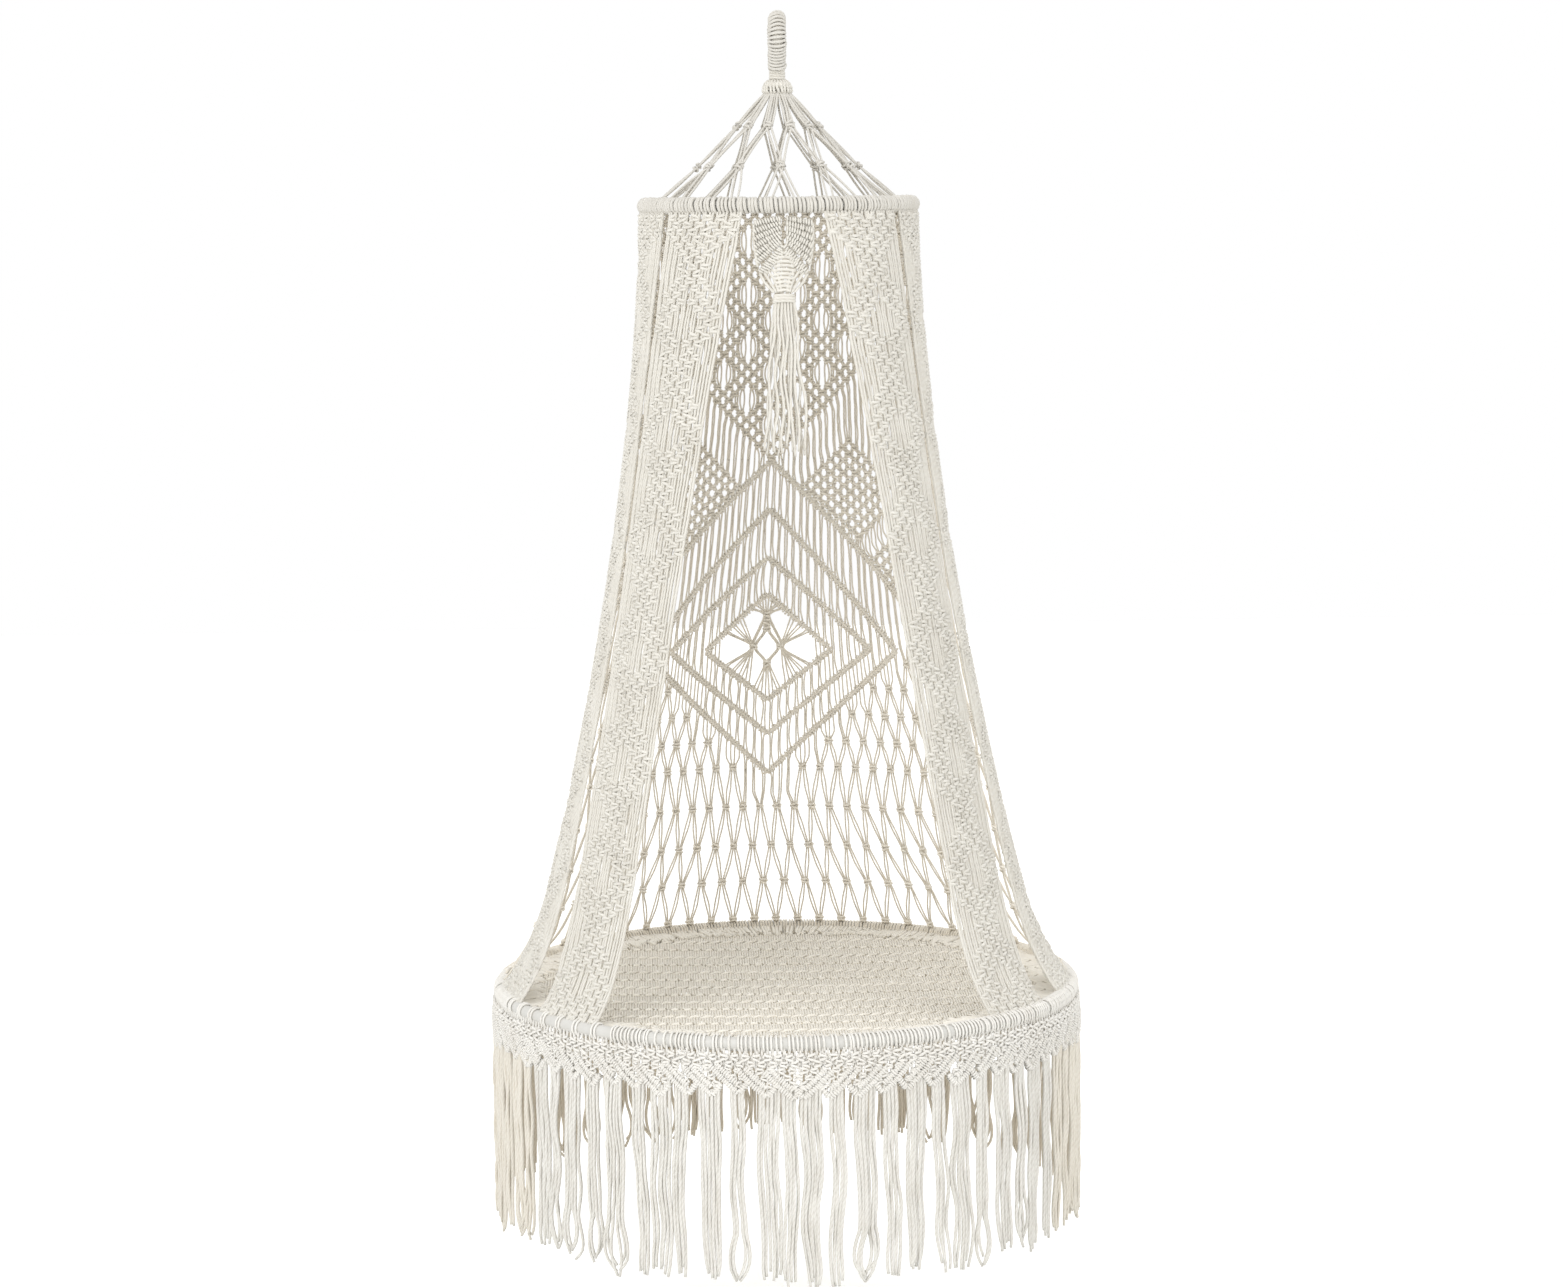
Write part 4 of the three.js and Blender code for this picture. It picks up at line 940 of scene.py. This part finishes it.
# Neck: rings of knots on the net's collar (z, radius and how many), gathered cords, and the knot. A turn is
# cord, degrees, slant, steps and lean; a core is radius, z, diameter, segments and sides.
neck = {"rings": ((-78.5, 15.0, 22), (-82.5, 16.8, 24), (-86.5, 17.4, 24)), "turn": (3.6, 250, 1.6, 7, 90),
    "ringReach": 2.6, "cords": 22, "top": -72.5, "length": 13, "inner": 10, "bulge": 6.2, "cord": 4.0,
    "core": (7, -80, 13.6, 24, 10), "turns": 5, "knotReach": 9.4, "knotMiddle": -67.5,
    "knotHeight": 19, "knotCord": 4.6, "knotCore": (2.4, -68.8, 11.2, 20, 10)}


def addNeck():
    rows = []
    for drop, radius, count in neck["rings"]:
        angles = (np.arange(count) + random.normal(0, 0.12, count)) * tau / count
        rows.append(hoopTurns(radius, drop, neck["ringReach"], angles, *neck["turn"]))
    piece("collarKnots", rows, knotCord, ["collar_knots"])
    t = np.linspace(0, 1, 9)
    angles = np.arange(neck["cords"])[:, None] * tau / neck["cords"]
    radius = neck["inner"] + neck["bulge"] * np.sin(np.pi * t) ** 0.5 + 0 * angles
    paths = around(radius, angles + 0.25 * t, neck["top"] - neck["length"] * t)
    collar = [tubes(paths, neck["cord"]), ringTube(*neck["core"])]
    piece("neckCollar", collar, creamCord, ["neck_collar"], "collar")
    s = np.linspace(0, 1, neck["turns"] * 16)
    reach = neck["knotReach"] * np.sqrt(np.clip(1 - (1.3 * (s - 0.5)) ** 4, 0.05, 1))
    paths = around(reach, tau * neck["turns"] * s, neck["knotMiddle"] + neck["knotHeight"] * (0.5 - s))[None]
    knot = [tubes(paths, neck["knotCord"], sides=6), ringTube(*neck["knotCore"])]
    piece("neckKnot", knot, creamCord, ["neck_knot"], "neck")


addNeck()

# Loop
loop = {"round": 27.8, "middle": -15.2, "legAngle": -25.7, "foot": -56.5, "reach": 8.3, "core": 14.94,
    "cord": 4.2, "gap": 0.25, "pinch": 11.5}


def addLoop():
    # Two straight legs and a round, in the YZ plane, then a helix of cord about that line
    angle = math.radians(loop["legAngle"])
    start = np.array([0, loop["round"] * math.cos(angle), loop["middle"] + loop["round"] * math.sin(angle)])
    way = np.array([0, math.sin(angle), -math.cos(angle)])
    leg = (start[2] - loop["foot"]) / -way[2]
    arc = np.linspace(angle, math.pi - angle, 60)
    bend = np.stack([0 * arc, loop["round"] * np.cos(arc), loop["middle"] + loop["round"] * np.sin(arc)], -1)
    first = start + way * leg * np.linspace(1, 0, 20)[:-1, None]
    line = np.concatenate([first, bend, (first * [1, -1, 1])[::-1]])
    run = lengths(line)
    turns = int(run[-1] / (loop["cord"] + loop["gap"]))
    at = np.linspace(0, run[-1], turns * 14)
    centre = np.stack([np.interp(at, run, line[:, k]) for k in range(3)], -1)
    tangent = unit(np.gradient(centre, axis=0))
    uneven = 1 + 0.04 * np.interp(at, np.linspace(0, run[-1], turns), random.normal(0, 1, turns))
    pinched = np.clip(np.abs(centre[:, 1]) / loop["pinch"], 0.62, 1)
    reach = ((loop["reach"] + loop["cord"] / 2) * uneven * pinched)[:, None]
    turn = tau * turns * at[:, None] / run[-1]
    aside = np.array([1.0, 0, 0])
    helix = centre + reach * (np.cos(turn) * aside + np.sin(turn) * np.cross(tangent, aside))
    whip = tubes(helix[None] * mm, loop["cord"], unit(helix - centre), 6)
    piece("loopWhipping", [whip], woundCord, ["loop_whipping"], "loop")
    core = tubes(line[None] * mm, loop["core"], aside, 10)
    piece("loopCore", [core], creamCord, ["hanging_loop"], "loop")


addLoop()

# Front ornament: two leaves, a diamond and its gather, in the plane y. Depths are from its top edge.
ornament = {"y": -181.5, "top": -256, "hitches": (3.1, 3.4, 3.5, 250, 0.09), "coreRadius": 1.7,
    "slit": 3.4, "slitTop": 2.5, "slitEnd": 38, "rows": 6, "edgeTop": 9, "curve": 1.15,
    "leafHalf": 39, "backing": 3.1, "backingOut": -1.6,
    "rim": ((0, 9), (0.5, 30), (-2, 52), (-4.5, 66)), "rimRadius": 1.8,
    "diamondHalf": 31.5, "diamondSide": 74, "diamondFoot": 100, "footHalf": 11.5,
    "ribs": 10, "ribTop": 12, "ribPitch": 5.4, "ribRadius": 2.4, "ribReach": 13.5, "ribSag": 2.2,
    "falling": 4, "fallingRadius": 2.0, "gather": (12.6, 13.4, 13.8), "gatherZ": -359.0,
    "gatherPitch": 3.8, "gatherDepth": 4.6, "gatherCord": 4.4}


def flatPlace(across, down, out):
    shape = 0 * (across + down + out)
    return np.stack([across + shape, ornament["y"] - out + shape, ornament["top"] - down + shape], -1) * mm


flatFronts = unit(np.array([0.02, -1.0, 0.03]))


def flatLine(route, radius, samples, out=0.0):
    return coreLine(flatPlace, route, radius, samples, out, flatFronts)


def ornamentRow(route):
    return corded(flatPlace, route, ornament["hitches"], ornament["coreRadius"], 24, facing=flatFronts)


def ornamentLeaf(hand):
    # Rows fall from the slit to the leaf's edge, each steeper than the one above it
    made = []
    half, slit, curve, top = (ornament[key] for key in ("leafHalf", "slit", "curve", "slitTop"))
    for row in range(ornament["rows"]):
        share = row / ornament["rows"]
        inner = top + share * (ornament["slitEnd"] - 1.5)
        outer = ornament["edgeTop"] + share * (ornament["diamondSide"] - 11) * 0.98
        edge = half - (half - ornament["diamondHalf"] - 3) * max(0, share - 0.45) / 0.55
        x = np.linspace(slit, edge, 12)
        fall = inner + (outer - inner) * ((x - slit) / (edge - slit)) ** curve
        made += ornamentRow(np.stack([hand * x, fall], -1))
    # cords behind the rows, from the top row to the lowest
    for x in np.arange(slit + 1.4, half - 3, ornament["backing"]):
        risen = ((x - slit) / (half - slit)) ** curve
        low = inner + (outer - inner) * min(risen * 1.12, 1)
        high = top + (ornament["edgeTop"] - top) * risen
        behind = [[hand * x, high], [hand * x, low]]
        made.append(flatLine(behind, ornament["coreRadius"], 8, ornament["backingOut"]))
    rim = [[hand * (half + x), down] for x, down in ornament["rim"]]
    made.append(flatLine(rim, ornament["rimRadius"], 24, -0.5))
    return made


def ornamentDiamond():
    # Bent ribs across, two rows of hitches down each upper side and cords down to the gather
    made = []
    top, side, half = ornament["slitEnd"], ornament["diamondSide"], ornament["diamondHalf"]
    foot, footHalf = ornament["diamondFoot"], ornament["footHalf"]
    for row in range(ornament["ribs"]):
        y = top + ornament["ribTop"] + ornament["ribPitch"] * row
        reach = min(y - top - 5, ornament["ribReach"], footHalf - 3 + (foot - y) * 0.3)
        bend = np.linspace(-1, 1, 15)
        route = np.stack([bend * reach, y - ornament["ribSag"] * (1 - bend ** 2)], -1)
        made.append(flatLine(route, ornament["ribRadius"], 22, 1.2))
    for hand in (1, -1):
        for inset, lower in ((0, 0), (6.5, 7.5)):
            made += ornamentRow([[hand * 0.8, top + lower], [hand * (half - inset), side - inset * 0.1]])
        for k in range(ornament["falling"]):
            falling = [[hand * (half - 5.2 * k), side + 1 - 2.0 * k],
                       [hand * (half - 5.6 - 6.2 * k), side + 12 - 2.5 * k],
                       [hand * (footHalf + 2.0 - 3.4 * k), foot]]
            made.append(flatLine(falling, ornament["fallingRadius"], 16, 0.9))
    return made


def ornamentGather():
    made = []
    t = np.linspace(0, tau, 41)
    for k, wide in enumerate(ornament["gather"]):
        z = ornament["gatherZ"] - ornament["gatherPitch"] * k - 1.2 * np.cos(t) ** 2
        ring = np.stack([wide * np.cos(t), ornament["y"] + ornament["gatherDepth"] * np.sin(t), z], -1)
        made.append(tubes(ring[None] * mm, ornament["gatherCord"], (0.0, 0.0, 1.0), 6))
    return made


for hand, name in ((1, "right"), (-1, "left")):
    piece(f"ornamentLeaf{name.title()}", ornamentLeaf(hand), knotCord, [f"ornament_leaf_{name}"], "ornament")
piece("ornamentDiamond", ornamentDiamond(), knotCord, ["ornament_diamond"], "ornament")
piece("ornamentGather", ornamentGather(), creamCord, ["ornament_gather"], "ornament")

# Tassel, its depths from the ornament's top edge
tassel = {"strands": 14, "half": 12, "spread": 2.1, "top": 108, "length": 211, "ragged": 18, "cord": 4.0,
    "layer": 1.9}


def addTassel():
    n = tassel["strands"]
    share = np.linspace(0, 1, 40)
    start = np.linspace(-tassel["half"], tassel["half"], n)
    far = start * tassel["spread"] + random.normal(0, 2.4, n)
    length = (tassel["length"] - tassel["ragged"] * random.random(n))[:, None]
    wave = sway(share, (1.0, 3.0), (1.2, 2.6), n, np.multiply)
    across = start[:, None] + (far - start)[:, None] * share ** 0.8 + wave * np.minimum(4 * share, 1)
    layer = np.where(np.arange(n) % 2, tassel["layer"], -tassel["layer"])[:, None]
    depth = layer + 0.8 * np.sin(tau * (1.6 * share + random.random((n, 1))))
    paths = flatPlace(across, tassel["top"] + share * length, depth * np.minimum(1, 0.5 + share))
    strands = tubes(paths, tassel["cord"] * (1 - 0.2 * share ** 8), flatFronts)
    piece("ornamentTassel", [strands], creamCord, ["ornament_tassel"], "tassel")


addTassel()

# Floor, light and background; places of the lamps are in metres
stage = {"floor": -1830, "half": 9000, "glow": 0.4, "skyLight": 0.97, "aim": (0, 0, -0.9)}
lamps = [("key", (-2.0, -3.0, 1.0), 45, 2.4), ("fill", (2.6, -3.0, 0.5), 22, 2.6)]


def addFloor():
    half, z = stage["half"] * mm, stage["floor"] * mm
    corners = [(-half, -half, z), (half, -half, z), (half, half, z), (-half, half, z)]
    mesh = bpy.data.meshes.new("floor")
    mesh.from_pydata(corners, [], [range(4)])
    floor = linked("floor", mesh)
    material, tree, shader = matt("pale floor", 0.9)
    shader.inputs["Base Color"].default_value = colour("#F4F4F2")
    path = node(tree, "ShaderNodeLightPath")
    seen = calculated(tree, "MULTIPLY", (path, "Is Camera Ray"), stage["glow"])
    glow = node(tree, "ShaderNodeEmission", [("Color", (1, 1, 1, 1)), ("Strength", seen)])
    both = node(tree, "ShaderNodeAddShader", [(0, (shader, 0)), (1, (glow, 0))])
    tree.links.new(both.outputs[0], tree.nodes["Material Output"].inputs["Surface"])
    floor.data.materials.append(material)


def addLight():
    # The sky is pure white where the camera sees it, and a little weaker as a light
    world = bpy.data.worlds.new("studio")
    bpy.context.scene.world = world
    world.use_nodes = True
    tree = world.node_tree
    sky = tree.nodes["Background"]
    sky.inputs["Color"].default_value = (1, 1, 1, 1)
    path = node(tree, "ShaderNodeLightPath")
    shown = calculated(tree, "MAXIMUM", (path, "Is Camera Ray"), (path, "Is Glossy Ray"))
    shown = calculated(tree, "MAXIMUM", shown, (path, "Is Transmission Ray"))
    level = mapped(tree, shown, 0, 1, stage["skyLight"], 1.0)
    tree.links.new(level[0].outputs[0], sky.inputs["Strength"])
    for name, place, power, size in lamps:
        data = bpy.data.lights.new(name, "AREA")
        data.energy = power
        data.size = size
        lamp = linked(name, data)
        lamp.location = place
        lamp.rotation_euler = (Vector(stage["aim"]) - Vector(place)).to_track_quat("-Z", "Y").to_euler()
    bpy.context.scene.view_settings.view_transform = "Standard"


addFloor()
addLight()

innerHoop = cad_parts["upper_hoop"]
innerHoop.data.materials.clear()
innerHoop.data.materials.append(whiteSteel)
